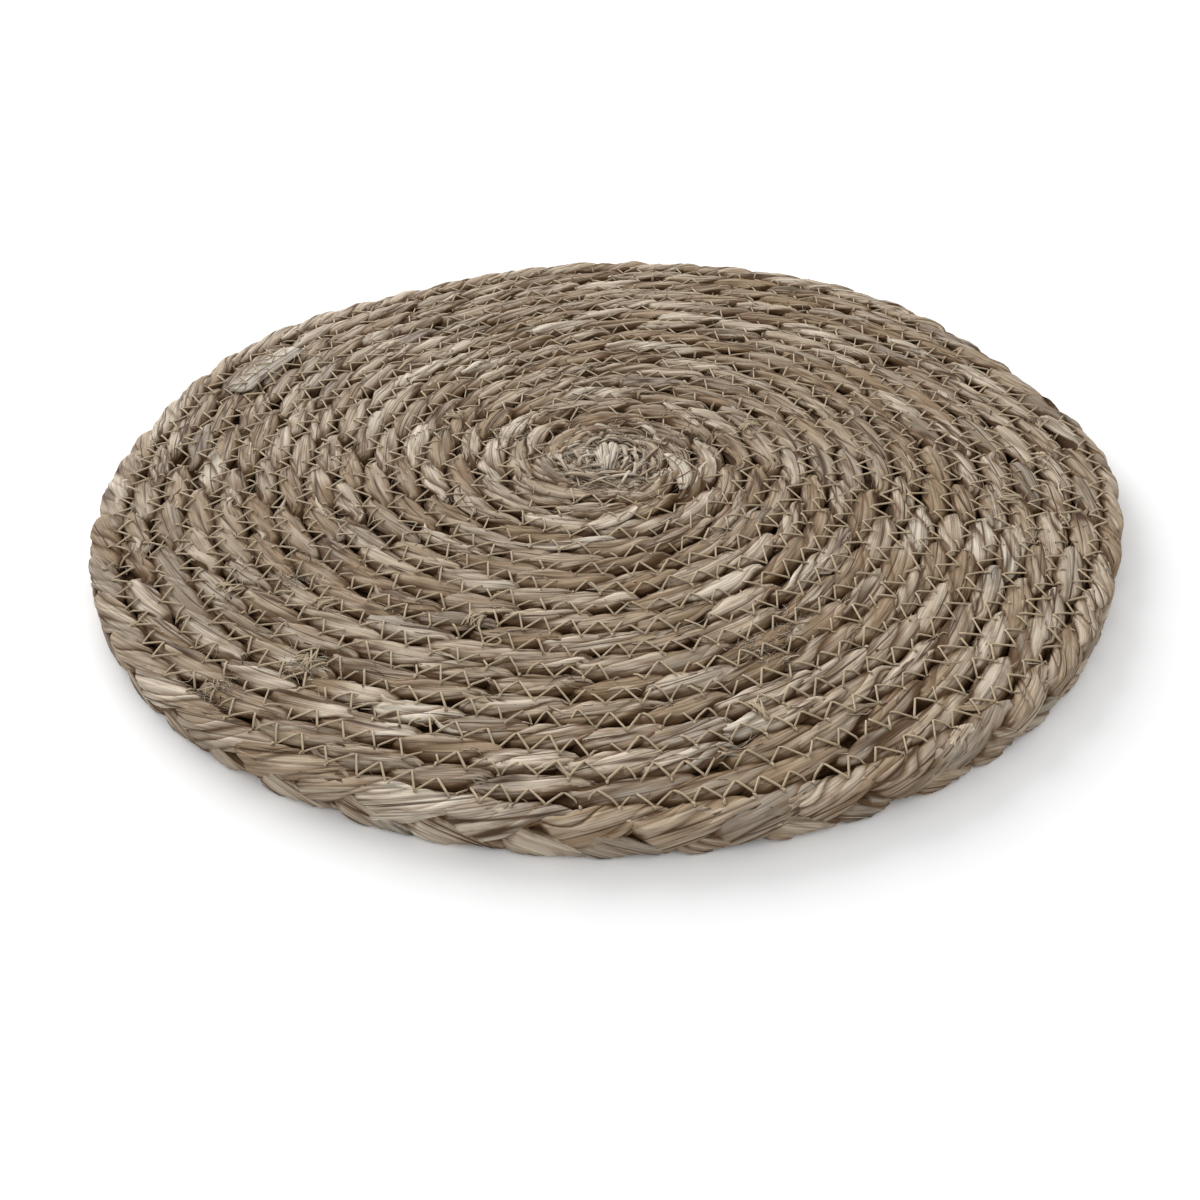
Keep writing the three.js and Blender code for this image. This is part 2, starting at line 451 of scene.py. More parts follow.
# The leaf ribbons of which a strand is folded
RIBBONS = 7
RIBBON_POINTS = np.array([0.05, 0.5, 0.95])
RIBBON_MIDDLE = 0.16 * MM
TWISTING = (75 * MM, 0.6)
CREASE_ASIDE = (43 * MM, 0.30)
RIBBON_STEPS = (52 * MM, 0.8 * MM)
CREASE_DEPTHS = (31 * MM, 0.5)
DEEPEST_CREASE = 0.42 * MM
# The crumpled middle of the mat
CRUMPLES = (7 * MM, 0.85 * MM)
CRUMPLED_REACH = 62 * MM
CRUMPLED_SHARE = 1.4
CRUMPLED_ABOVE = (2 * MM, 4 * MM)
# The leaf's tone, greyness and shade
TONE_CHANGES = ((34 * MM, 0.5), (150 * MM, 0.35))
RIBBON_TONES = (44 * MM, 0.5)
GREY_CHANGES = (90 * MM, 0.6)
LOBE_TONE = 0.52
CREASE_SHADE = 0.3
CREASE_SHADE_DEPTH = 0.6 * MM
EDGE_SHADE = 0.65
EDGE_SINE = 0.5
SEAM_SHADE = 0.31
SEAM_SHADE_FROM = 1.6 * MM
SEAM_SHADE_REACH = 1.5 * MM
# Leaf runs straight over a lobe: shares of half a round at which it is out of sight, and its slant on the rim
HIDDEN_FROM = 1.15
HIDDEN_TO = 1.85
RIM_HIDDEN_SOONER = 0.15
WALL_ANGLE = math.radians(21)
APART = (0.3, 13 * MM, 17 * MM)
STRANDS_APART = 20
# Each strand's places along it, with its turn, radius and phase there
_lines = {}


def straight_leaf(places, phase, on_rim, centre_inward, along_plait, inward, above):
    """Place of each point on the leaf, which runs straight where a strand shows and starts anew out of sight."""
    share = phase / math.pi % 2
    goes_up = share > HIDDEN_TO
    goes_under = (share > HIDDEN_FROM - RIM_HIDDEN_SOONER * on_rim) & ~goes_up
    lie = 2 * np.floor(phase / ROUND) + 2 * goes_up + goes_under
    steady = np.maximum.accumulate(phase)
    first_place = np.interp((lie + 0.2) * math.pi, steady, places)
    last_place = np.interp((lie + 0.8) * math.pi, steady, places)
    rise = np.interp(last_place, places, centre_inward) - np.interp(first_place, places, centre_inward)
    angle = np.arctan2(rise, np.maximum(last_place - first_place, 1 * MM))
    wall_angle = np.where(goes_under, -WALL_ANGLE, WALL_ANGLE)
    angle = angle + (wall_angle - angle) * np.interp((lie + 0.5) * math.pi, steady, on_rim)
    cosine, sine = np.cos(angle)[:, None], np.sin(angle)[:, None]
    ahead = along_plait - 0.5 * (first_place + last_place)[:, None]
    over = inward + on_rim[:, None] * above
    leaf = np.stack([ahead * cosine + over * sine, over * cosine - ahead * sine, 0 * over], -1)
    return leaf + lie[:, None, None] * np.array(APART)


def ribbon_relief(own, places):
    """The leaf ribbons side by side round a strand: their points' angles, and their heights over its skin."""
    twist = wander(own, places, *TWISTING)
    creases = ROUND * np.arange(RIBBONS) / RIBBONS + twist[:, None] + wanders(own, places, *CREASE_ASIDE)
    steps = wanders(own, places, *RIBBON_STEPS)
    depths = DEEPEST_CREASE * (0.5 + wanders(own, places, *CREASE_DEPTHS))
    after = np.roll(creases, -1, axis=1)
    after[:, -1] += ROUND
    angles = creases[:, :, None] + (after - creases)[:, :, None] * RIBBON_POINTS
    low = -0.5 * steps - depths
    high = 0.5 * np.roll(steps, -1, axis=1) - np.roll(depths, -1, axis=1)
    relief = np.stack([low, RIBBON_MIDDLE + 0.25 * (low + high), high], 2)
    return angles.reshape(len(places), -1), relief.reshape(len(places), -1)


def leaf_tones(number, places, phase, centre):
    """How pale and how grey the leaf is, for each point round each place of a strand."""
    random = np.random.default_rng(50 + number)
    lengthwise = sum(wander(random, places, *changes) for changes in TONE_CHANGES)
    by_ribbon = wanders(random, places, *RIBBON_TONES)
    lobe = (phase / math.pi).astype(int)
    by_lobe = random.uniform(-LOBE_TONE, LOBE_TONE, lobe.max() + 1)[lobe]
    paler, greyer = special_values(centre)
    tone = (0.5 + by_lobe + 0.45 * lengthwise + paler)[:, None]
    tone = tone + 0.4 * np.repeat(by_ribbon, len(RIBBON_POINTS), axis=1)
    grey = 0.5 + wander(random, places, *GREY_CHANGES)[:, None] + greyer[:, None] + 0 * tone
    return tone, grey


def strand_arrays(number, spiral, sizes, strand):
    """Points, faces and leaf values of one strand, from the middle of the mat to its outer end."""
    length = spiral.length() + START_LENGTH
    places = np.linspace(0, length, int(length / strand.step))
    turn = spiral.turn_at(places - START_LENGTH)
    width = np.minimum(1, spiral.width_share(turn))
    end = np.clip((length - places) / END_TAPER, THINNEST_END, 1)
    messy = 1 + MESSIER * np.clip(1 - places / MESSY_LENGTH, 0, 1)
    last_round = turn - spiral.last_turn + ROUND
    on_rim = ramp(last_round, 0, RIM_FADE)
    shared = np.random.default_rng(11)
    own = np.random.default_rng(20 + number)

    # The strand's way through the plait: up the outer side, over the top to the inner side and down again
    crowd = wander(shared, places, *CROWDING) + wander(own, places, *OWN_CROWDING)
    phase = ROUND * ((places + crowd) / strand.repeat + number / STRANDS)
    loose = 1 + wander(shared, places, *LOOSER)
    rise = strand.rise * loose * np.tanh(FLAT_TOP * np.sin(phase)) / math.tanh(FLAT_TOP)
    rise += wander(own, places, *UP_AND_DOWN) * messy
    long_lie = LONG_LIE + (RIM_LONG_LIE - LONG_LIE) * on_rim
    swing = np.sin(2 * (phase + long_lie * np.sin(2 * phase)))
    aside = strand.aside * width * swing + wander(own, places, *TO_THE_SIDE) * messy
    middle_radius = spiral.radius_across(turn, 0.5)
    half = sizes.thickness / 2
    centre = spiral.place(turn, middle_radius + aside, half + rise * end)
    _lines[number] = (places, turn, middle_radius + aside, phase)
    along = unit_vectors(np.gradient(centre, axis=0))
    outward = polar(1, turn, 0 * turn)
    up = np.array([0.0, 0.0, 1.0])

    # It is flat, and its flat side faces out of the plait: wholly on the rim, less where turns press on it
    turned = TURNED + (1 - TURNED) * on_rim
    lean = math.pi / 2 * (1 - turned * np.cos(phase)) + wander(own, places, *LEANING)
    facing = np.cos(lean)[:, None] * outward + np.sin(lean)[:, None] * up
    across = unit_vectors(np.cross(facing, along))
    facing = np.cross(along, across)
    beside = strand.pressed_beside + (strand.beside - strand.pressed_beside) * on_rim
    half_width = beside + (strand.on_top - beside) * np.sin(phase) ** 2
    half_width = half_width * (1 + wander(own, places, *WIDER)) * width * end
    half_thickness = strand.thin + (strand.thick - strand.thin) * np.sin(2 * phase) ** 2
    half_thickness = half_thickness * (1 + wander(own, places, *THICKER)) * width ** 0.5
    angles, relief = ribbon_relief(own, places)
    cosine, sine = np.cos(angles), np.sin(angles)
    flat_w = np.sign(cosine) * np.abs(cosine) ** ROUNDING * half_width[:, None]
    flat_n = np.sign(sine) * np.abs(sine) ** ROUNDING * half_thickness[:, None]
    skin = centre[:, None, :] + across[:, None, :] * flat_w[..., None] + facing[:, None, :] * flat_n[..., None]

    # Sewn and pressed: nothing stands much above the mat or far into the next turn, and the seams lie lower
    skin[..., 2] = half + soft_limit(skin[..., 2] - half, half - PRESS_UP[0], half - PRESS_UP[1])
    skin[..., 2] *= 1 - START_LOWER * np.clip(1 - places / LOW_START, 0, 1)[:, None]
    base = spiral.place(turn, middle_radius, half)
    sideways = np.sum((skin - base[:, None, :]) * outward[:, None, :], 2)
    half_plait = spiral.pitch / 2 * width[:, None]
    rim = ramp(last_round, 0, 0.3)[:, None] * (sideways > 0)
    kept = soft_limit(sideways, half_plait - PRESS_SIDE[0] - PRESS_ON_RIM[0] * rim,
                      half_plait + PRESS_SIDE[1] - PRESS_ON_RIM[1] * rim)
    skin += (kept - sideways)[..., None] * outward[:, None, :]
    to_seam = np.clip(np.abs(kept) / half_plait, 0, WIDEST_DIP) * (1 - rim)
    skin[..., 2] = half + (skin[..., 2] - half) * (1 - SEAM_DIP * to_seam ** 4)

    # In the middle of the mat the leaf is crumpled, but not where it lies on the table
    crumpled = np.random.default_rng(90 + number)
    folds = np.stack([wander(crumpled, places, *CRUMPLES) for _ in range(angles.shape[1])], 1)
    folds *= np.clip(CRUMPLED_SHARE - middle_radius / CRUMPLED_REACH, 0, 1)[:, None]
    relief = relief + folds * ramp(skin[..., 2], *CRUMPLED_ABOVE)

    # The ribbons' edges and creases stand out from the pressed surface
    around = np.roll(skin, -1, axis=1) - np.roll(skin, 1, axis=1)
    outside = unit_vectors(np.cross(around, np.gradient(skin, axis=0)))
    outside *= np.sign(np.sum(outside * (skin - centre[:, None, :]), 2))[..., None]
    skin += outside * relief[..., None]

    # Values for the material, with painted shade in the ribbons' creases, at the strands' edges and along the
    # seams. The wall of the turn inside shows past the thin outer end
    bare = ramp(last_round, -0.3, 0.2)[:, None] * (sideways > 0)
    tone, grey = leaf_tones(number, places, phase, centre)
    painted_shade = CREASE_SHADE * np.clip(-relief / CREASE_SHADE_DEPTH, 0, 1)
    painted_shade = painted_shade + EDGE_SHADE * np.clip(1 - np.abs(sine) / EDGE_SINE, 0, 1) * (1 - on_rim)[:, None] * (1 - bare)
    painted_shade = painted_shade + SEAM_SHADE * ramp(np.abs(kept), half_plait - SEAM_SHADE_FROM, SEAM_SHADE_REACH) * (1 - bare)
    forward = polar(1, turn + math.pi / 2, 0 * turn)
    from_axis = skin - base[:, None, :]
    along_plait = places[:, None] + np.sum(from_axis * forward[:, None, :], 2)
    inward = -np.sum(from_axis * outward[:, None, :], 2)
    leaf_place = straight_leaf(places, phase, on_rim, -aside, along_plait, inward, from_axis[..., 2])
    leaf_place[..., 0] += number * STRANDS_APART

    def with_ends(array):
        flat = array.reshape((-1,) + array.shape[2:])
        return np.concatenate([flat, flat[[0, -1]]])

    points = np.concatenate([skin.reshape(-1, 3), centre[[0, -1]]])
    values = {"leaf_tone": tone, "leaf_grey": grey, "leaf_shade": painted_shade, "leaf_place": leaf_place}
    values = {key: with_ends(array) for key, array in values.items()}
    return points, *tube_faces(*angles.shape), values, with_ends(bare)


# Heights of the finished plait, which the sewing lies on and which show where leaf lies deep, for the painted
# shade

CELL = 0.5 * MM
MAP_HALF = 200 * MM
WALL_RADIUS = 190 * MM
WALL_ROWS = 30
SEEN_ROUND = 3
EMPTY = -1.0
# Where shade starts under higher leaf and how soon it is full, on the flat and on the wall
FLAT_SHADE = (0.3 * MM, 1.7 * MM)
WALL_SHADE = (0.35 * MM, 1.6 * MM)
WALL_SHADE_MOST = 0.9
_heights = {}


def strand_points(piece):
    points = np.empty(len(piece.data.vertices) * 3, np.float32)
    piece.data.vertices.foreach_get("co", points)
    return points.reshape(-1, 3)


def grid_cells(points):
    """Row and column of the height maps under each point."""
    cells = ((points[..., :2] + MAP_HALF) / CELL).astype(int)
    cells = np.clip(cells, 0, int(2 * MAP_HALF / CELL) - 1)
    return cells[..., 1], cells[..., 0]


def wall_cells(points):
    """Row and column of the map of the mat's outer wall, laid out flat, beside each point."""
    turn = np.arctan2(points[..., 1], points[..., 0]) % ROUND
    row = np.clip((points[..., 2] / CELL).astype(int), 0, WALL_ROWS - 1)
    return row, (turn * WALL_RADIUS / CELL).astype(int)


def between_points(points):
    """Extra points between those of a strand, close enough for the maps."""
    rings = points[:-2].reshape(-1, RIBBONS * len(RIBBON_POINTS), 3)
    after = np.roll(rings, -1, axis=1)
    for share in (0, 0.5):
        edge = rings * (1 - share) + after * share
        for step in (0, 0.25, 0.5, 0.75):
            yield (edge[:-1] * (1 - step) + edge[1:] * step).reshape(-1, 3)


def height_maps():
    """Top and underside heights of the strands on a grid seen from above, and how far out the wall is."""
    if _heights:
        return _heights
    cells = int(2 * MAP_HALF / CELL)
    top = np.full((cells, cells), EMPTY)
    under = np.full((cells, cells), -EMPTY)
    wall = np.full((WALL_ROWS, int(ROUND * WALL_RADIUS / CELL) + 1), EMPTY)
    for number in range(STRANDS):
        for points in between_points(strand_points(bpy.data.objects[f"plait_strand_{number + 1}"])):
            np.maximum.at(top, grid_cells(points), points[:, 2])
            np.minimum.at(under, grid_cells(points), points[:, 2])
            np.maximum.at(wall, wall_cells(points), np.hypot(points[:, 0], points[:, 1]))
    _heights.update(top=fill_holes(top), under=-fill_holes(-under), wall=fill_holes(wall))
    _heights.update(top_widened=widened(_heights["top"]), under_widened=-widened(-_heights["under"]),
                    wall_widened=widened(_heights["wall"]))
    return _heights


def fill_holes(heights):
    """Each empty cell takes the highest of its neighbours, twice over."""
    for _ in range(2):
        near = np.max(list(shifted_maps(heights, 1)), axis=0)
        heights = np.where(heights <= EMPTY + 1e-6, near, heights)
    return heights


def widened(heights):
    """The highest of the heights within a small round of each cell."""
    return np.max(list(shifted_maps(heights, SEEN_ROUND, SEEN_ROUND ** 2 + 1)), axis=0)


def shifted_maps(heights, reach, most_squared=math.inf):
    """A map moved by each step within the reach, in rows and columns."""
    padded = np.pad(heights, reach, constant_values=EMPTY)
    rows, columns = heights.shape
    for i in range(2 * reach + 1):
        for k in range(2 * reach + 1):
            if (i - reach) ** 2 + (k - reach) ** 2 <= most_squared:
                yield padded[i:i + rows, k:k + columns]


def add_depth_shade(piece, on_wall, half):
    """Paint shade on the leaf where other leaf beside it stands higher."""
    maps = height_maps()
    points = strand_points(piece)
    cells = grid_cells(points)
    below_top = maps["top_widened"][cells] - points[:, 2]
    over_under = points[:, 2] - maps["under_widened"][cells]
    flat_shade = ramp(np.where(points[:, 2] > half, below_top, over_under), *FLAT_SHADE)
    inside_wall = maps["wall_widened"][wall_cells(points)] - np.hypot(points[:, 0], points[:, 1])
    wall_shade = ramp(inside_wall, *WALL_SHADE) * WALL_SHADE_MOST
    shade = np.where(on_wall > 0.5, np.minimum(wall_shade, flat_shade), flat_shade)
    field = piece.data.attributes["leaf_shade"].data
    painted_shade = np.empty(len(points), np.float32)
    field.foreach_get("value", painted_shade)
    field.foreach_set("value", np.clip(painted_shade + shade, 0, 1).astype(np.float32))


def raise_top(grids):
    """Add rows of points (pieces, rings, across, 3) to the heights of the top."""
    top = height_maps()["top"]
    for step in np.linspace(0, 1, 8, endpoint=False):
        rings = grids[:, :-1] * (1 - step) + grids[:, 1:] * step
        for share in np.linspace(0, 1, 5):
            points = (rings[:, :, :-1] * (1 - share) + rings[:, :, 1:] * share).reshape(-1, 3)
            np.maximum.at(top, grid_cells(points), points[:, 2])


def height_at(side, points):
    """Height of the plait's top or underside under or over each point, never further in than its middle."""
    found = height_maps()[side][grid_cells(points)]
    half = bpy.context.scene.mat_sizes.thickness / 2
    return np.maximum(found, half) if side == "top" else np.minimum(found, half)


# The zigzag sewing. Its teeth reach over each seam in turn, and every other one or so ends in a short stem.

LEG_SAMPLES = 9
NEEDLE_DIP = 0.4 * MM
THREAD_GAP = 0.2 * MM
FIRST_STITCH_TURN = 1.1
TOOTH_SPREAD = 0.14
INNER_TOOTH_ASIDE = 0.12
OUTER_REACH = (0.8, 1.2)
INNER_REACH = (0.8, 1.15)
STEM_SHARE = 0.55
STEM_LENGTH = (1.2, 3.2)
STEM_ASIDE = 0.42
THINNER_STITCH = 0.95
UNEVEN_THREAD = (0.85, 1.12)
# How the thread of each side is made: which samples of a leg and of a stem are kept, and points round it
THREAD_MAKES = {
    "top": ([0, 1, 3, 5, 7, 8], [0, 4, 8], 5),
    "under": ([0, 2, 6, 8], [0, 8], 3),
}
# The thread sinks into the crumpled middle, and a little at the back
SOFT_REACH = 62 * MM
SOFT_SHARE = 1.3
BACK_SOFT = (60 * MM, 60 * MM)
BACK_SOFTNESS = 0.75
PULLED_IN = (0.2 * MM, 1.7 * MM)
# Each tube of thread takes its fibres from another place of the pattern
FIBRES_APART = 0.37
# Places where the needle went back and forth: direction in degrees, its spread, radius in mm, stitches
DENSE_STITCHES = (
    (212, 2.2, 150, 14),
    (231, 2.0, 150, 12),
    (223, 2.0, 129, 12),
    (286, 1.2, 150, 8),
    (346, 1.2, 149, 8),
    (245.5, 1.8, 108, 10),
    (20, 2.5, 60, 8),
    (150, 3.0, 70, 8),
)
DENSE_REACH = (2.0, 4.6)
DENSE_LIFT = 0.5 * MM
LOOP_MIDDLE = (250.5, 116 * MM)
LOOP_SIZE = (3.0 * MM, 2.1 * MM)
LOOP_SHARES = (-0.35, 1.2)


def taut(heights):
    """The lowest height that a taut thread can have over each sample: the upper hull of every row."""
    count = heights.shape[1]
    best = heights.copy()
    for first in range(count):
        for last in range(first + 2, count):
            for between in range(first + 1, last):
                share = (between - first) / (last - first)
                line = heights[:, first] * (1 - share) + heights[:, last] * share
                best[:, between] = np.maximum(best[:, between], line)
    return best


def lay_on_plait(starts, ends, side, radius, kept):
    """Taut threads from start to end, over the plait's top or under its underside, with dipped ends."""
    share = np.linspace(0, 1, LEG_SAMPLES)[None, :, None]
    line = starts[:, None, :] * (1 - share) + ends[:, None, :] * share
    if side == "top":
        line[..., 2] = taut(height_at(side, line)) + radius + THREAD_GAP
        dip = NEEDLE_DIP
    else:
        line[..., 2] = np.maximum(-taut(-height_at(side, line)) - radius, radius)
        dip = -2 * NEEDLE_DIP
    line[:, [0, -1], 2] -= dip
    return line[:, kept]


def zigzag(spiral, sewing, random):
    """Start and end points of every leg of the zigzag, and of the stems of its Y-shaped teeth."""
    first = spiral.length_at(FIRST_STITCH_TURN)
    last = spiral.length_at(spiral.last_turn - ROUND) - END_TAPER * 0.7
    count = int((last - first) / sewing.tooth)
    spaced = np.cumsum(random.uniform(1 - TOOTH_SPREAD, 1 + TOOTH_SPREAD, count))
    places = first + (spaced - spaced[0]) / (spaced[-1] - spaced[0]) * (last - first)
    turn_out = spiral.turn_at(places)
    turn_in = (turn_out[:-1] + turn_out[1:]) / 2
    turn_in = turn_in + random.uniform(-INNER_TOOTH_ASIDE, INNER_TOOTH_ASIDE, count - 1) * np.diff(turn_out)
    seam_out = spiral.radius_across(turn_out, 1)
    seam_in = spiral.radius_across(turn_in, 1)
    reach_out = sewing.reach * random.uniform(*OUTER_REACH, count)
    reach_in = sewing.reach * random.uniform(*INNER_REACH, count - 1)
    inner = spiral.place(turn_in, seam_in - reach_in, 0)
    room = np.clip(spiral.width_share(turn_out + ROUND) - 0.15, 0.1, 1)
    reach_out = reach_out * room
    has_stem = random.uniform(0, 1, count) < STEM_SHARE
    stem_length = room * np.where(has_stem, random.uniform(*STEM_LENGTH, count), 0) * MM
    outer = spiral.place(turn_out, seam_out + reach_out, 0)
    fork = spiral.place(turn_out, seam_out + reach_out - stem_length, 0)
    starts = np.concatenate([fork[:-1], inner])
    ends = np.concatenate([inner, fork[1:]])
    aside = polar(1, turn_out + math.pi / 2, 0 * turn_out) * sewing.thickness * STEM_ASIDE
    stem_starts = np.concatenate([(fork + aside)[has_stem], (fork - aside)[has_stem]])
    return starts, ends, stem_starts, np.concatenate([outer[has_stem], outer[has_stem]])


def dense_stitches(random):
    """Start and end points of the crowded stitches."""
    starts, ends = [], []
    for direction, spread, radius, count in DENSE_STITCHES:
        turn = np.radians(direction + random.uniform(-spread, spread, (2, count)))
        side = np.where(random.uniform(0, 1, count) < 0.5, 1, -1)
        across = radius * MM + np.stack([side, -side]) * random.uniform(*DENSE_REACH, (2, count)) * MM
        flat = polar(across, turn, 0 * turn)
        starts.append(flat[0])
        ends.append(flat[1])
    return np.concatenate(starts), np.concatenate(ends)


def thread_loop(radius):
    """A slack loop of thread that stands up a little from the mat."""
    round_loop = np.linspace(*LOOP_SHARES, 17) * math.pi * 1.25
    away = LOOP_MIDDLE[1]
    turn = math.radians(LOOP_MIDDLE[0]) + LOOP_SIZE[0] * np.sin(round_loop) / away
    path = polar(away + LOOP_SIZE[1] * np.cos(round_loop), turn, 0 * turn)
    path[:, 2] = np.max(height_at("top", path)) + radius * (1 + 0.9 * np.sin(round_loop))
    return path[None]


def pulled_in(legs, random):
    """Legs of the zigzag on the top, sunk where the leaf is soft."""
    from_middle = np.hypot(legs[:, :1, 0], legs[:, :1, 1])
    soft = np.clip(SOFT_SHARE - from_middle / SOFT_REACH, 0, 1)
    soft = soft + BACK_SOFTNESS * ramp(legs[:, :1, 1], *BACK_SOFT)
    legs[..., 2] -= soft * random.uniform(*PULLED_IN, (len(legs), 1))
    return legs


def sewing_piece(context, name, side, seed):
    """The zigzag thread of the top or of the underside."""
    scene = context.scene
    sewing = scene.sewing_sizes
    radius = sewing.thickness / 2
    random = np.random.default_rng(seed)
    leg_kept, stem_kept, around = THREAD_MAKES[side]
    starts, ends, stem_starts, stem_ends = zigzag(Spiral(scene.mat_sizes), sewing, random)
    legs = lay_on_plait(starts, ends, side, radius, leg_kept)
    stems = lay_on_plait(stem_starts, stem_ends, side, radius, stem_kept)
    thick = radius * random.uniform(*UNEVEN_THREAD, (len(legs), 1))
    thin = radius * THINNER_STITCH
    if side == "top":
        legs = pulled_in(legs, random)
    groups = [(legs, thick), (stems, thin)]
    if side == "top":
        extra = lay_on_plait(*dense_stitches(random), side, radius, leg_kept)
        extra[..., 2] += random.uniform(0, DENSE_LIFT, (len(extra), 1))
        groups += [(extra, thin), (thread_loop(radius), radius)]
    piece = joined_tubes(name, [
        tubes(paths, np.broadcast_to(radii, paths.shape[:2]), around) for paths, radii in groups])
    finish_piece(piece, thread_material(scene.placemat_colours))


def joined_tubes(name, parts):
    """One mesh piece of thread from several groups of tubes."""
    points, quads, triangles, places = zip(*parts)
    firsts = np.cumsum([0] + [len(group) for group in points[:-1]])
    quads, triangles = ([part + first for part, first in zip(faces, firsts)] for faces in (quads, triangles))
    places = np.concatenate(places)
    places[:, 0] += np.cumsum(places[:, 0] < 1e-9) * FIBRES_APART
    return mesh_from_arrays(name, *map(np.concatenate, (points, quads, triangles)), {"thread_place": places})


# The pale butt end of the plait in the middle of the mat, where the leaves were cut and folded in

BUTT_LEAVES = 26
BUTT_FRONT = -11.5 * MM
BUTT_BACK = 11.0 * MM
BUTT_RINGS, BUTT_AROUND = 9, 10
BUTT_FLAT = 0.45
BUTT_TONE = (0.9, 1.6)
BUTT_GREY = (0.0, 0.35)
# Leaves round it: radius in mm and direction in degrees of both ends, half width in mm, height of both ends
# in mm, tone
MIDDLE_LEAVES = (
    (9, 150, 20, 175, 1.6, 10.6, 11.4, 1.5),
    (8, 190, 17, 205, 1.9, 10.0, 11.0, 0.9),
    (10, 215, 16, 235, 1.7, 9.6, 10.6, 0.5),
    (12, 255, 20, 290, 1.8, 10.4, 11.4, 0.8),
    (9, 300, 21, 320, 2.0, 9.8, 11.2, 0.7),
    (9, 20, 19, 350, 1.9, 9.5, 11.0, 0.5),
    (8, 60, 16, 20, 1.6, 9.0, 10.8, 0.9),
    (24, 262, 30, 300, 2.6, 11.5, 12.0, 0.9),
    (59, 253, 53, 272, 2.2, 11.9, 12.2, 1.5),
    (20, 120, 24, 160, 2.0, 10.6, 11.4, 1.1),
    (19, 75, 27, 105, 2.2, 10.4, 11.4, 1.3),
    (26, 40, 30, 70, 2.3, 11.0, 11.8, 1.4),
)
MIDDLE_BUNDLE = 6
MIDDLE_RINGS, MIDDLE_AROUND = 11, 8
MIDDLE_FLAT = 0.6
MIDDLE_TONE = (0.4, 1.2)
MIDDLE_GREY = (0.0, 0.4)
FILL_LEAVES = 150
FILL_RADIUS = (3.5, 19)
FILL_LENGTH = (5, 13)
FILL_HEIGHT = (9.0, 11.2)
FILL_THICK = (0.35, 1.1)
FILL_TONE = (0.3, 1.5)


def swing_between(first, last):
    """The shorter way round from one direction to another, in degrees."""
    return (last - first + 180) % 360 - 180


def butt_end(context):
    """Leaf ends that fan out from a point at the front to a ragged cut at the back."""
    random = np.random.default_rng(77)
    one_each = (BUTT_LEAVES, 1)
    share = np.linspace(0, 1, BUTT_RINGS)[None, :]
    spread = np.linspace(-1, 1, BUTT_LEAVES)[:, None] + random.uniform(-0.06, 0.06, one_each)
    front = BUTT_FRONT + random.uniform(0, 3.5 * MM, one_each) + 3 * MM * np.abs(spread)
    back = BUTT_BACK + random.uniform(-3.0 * MM, 2.0 * MM, one_each) - 2.5 * MM * spread ** 2
    y = front + (back - front) * share
    x = -0.3 * MM + spread * (0.9 * MM + 5.6 * MM * share ** 0.8) + 0.4 * MM * np.sin(5 * share + 9 * spread)
    crown = 2.2 * MM * np.sin(math.pi * np.clip(share * 0.6 + 0.22, 0, 1))
    z = context.scene.mat_sizes.thickness - 2.4 * MM + crown - 1.4 * MM * spread ** 2
    z = z + random.uniform(-0.35 * MM, 0.35 * MM, one_each) + 0.25 * MM * np.sin(7 * share + 5 * spread)
    paths = np.stack([x, y, z], -1)
    thick = (0.6 + 0.75 * share) * MM * random.uniform(0.5, 1.1, one_each)
    thick = thick * np.clip(4 * np.minimum(share, 1.08 - share) + 0.3, 0, 1)
    arrays = leaf_tubes(random, paths, thick, BUTT_AROUND, BUTT_FLAT, BUTT_TONE, BUTT_GREY)
    leaf_piece(context, "butt_end", arrays)


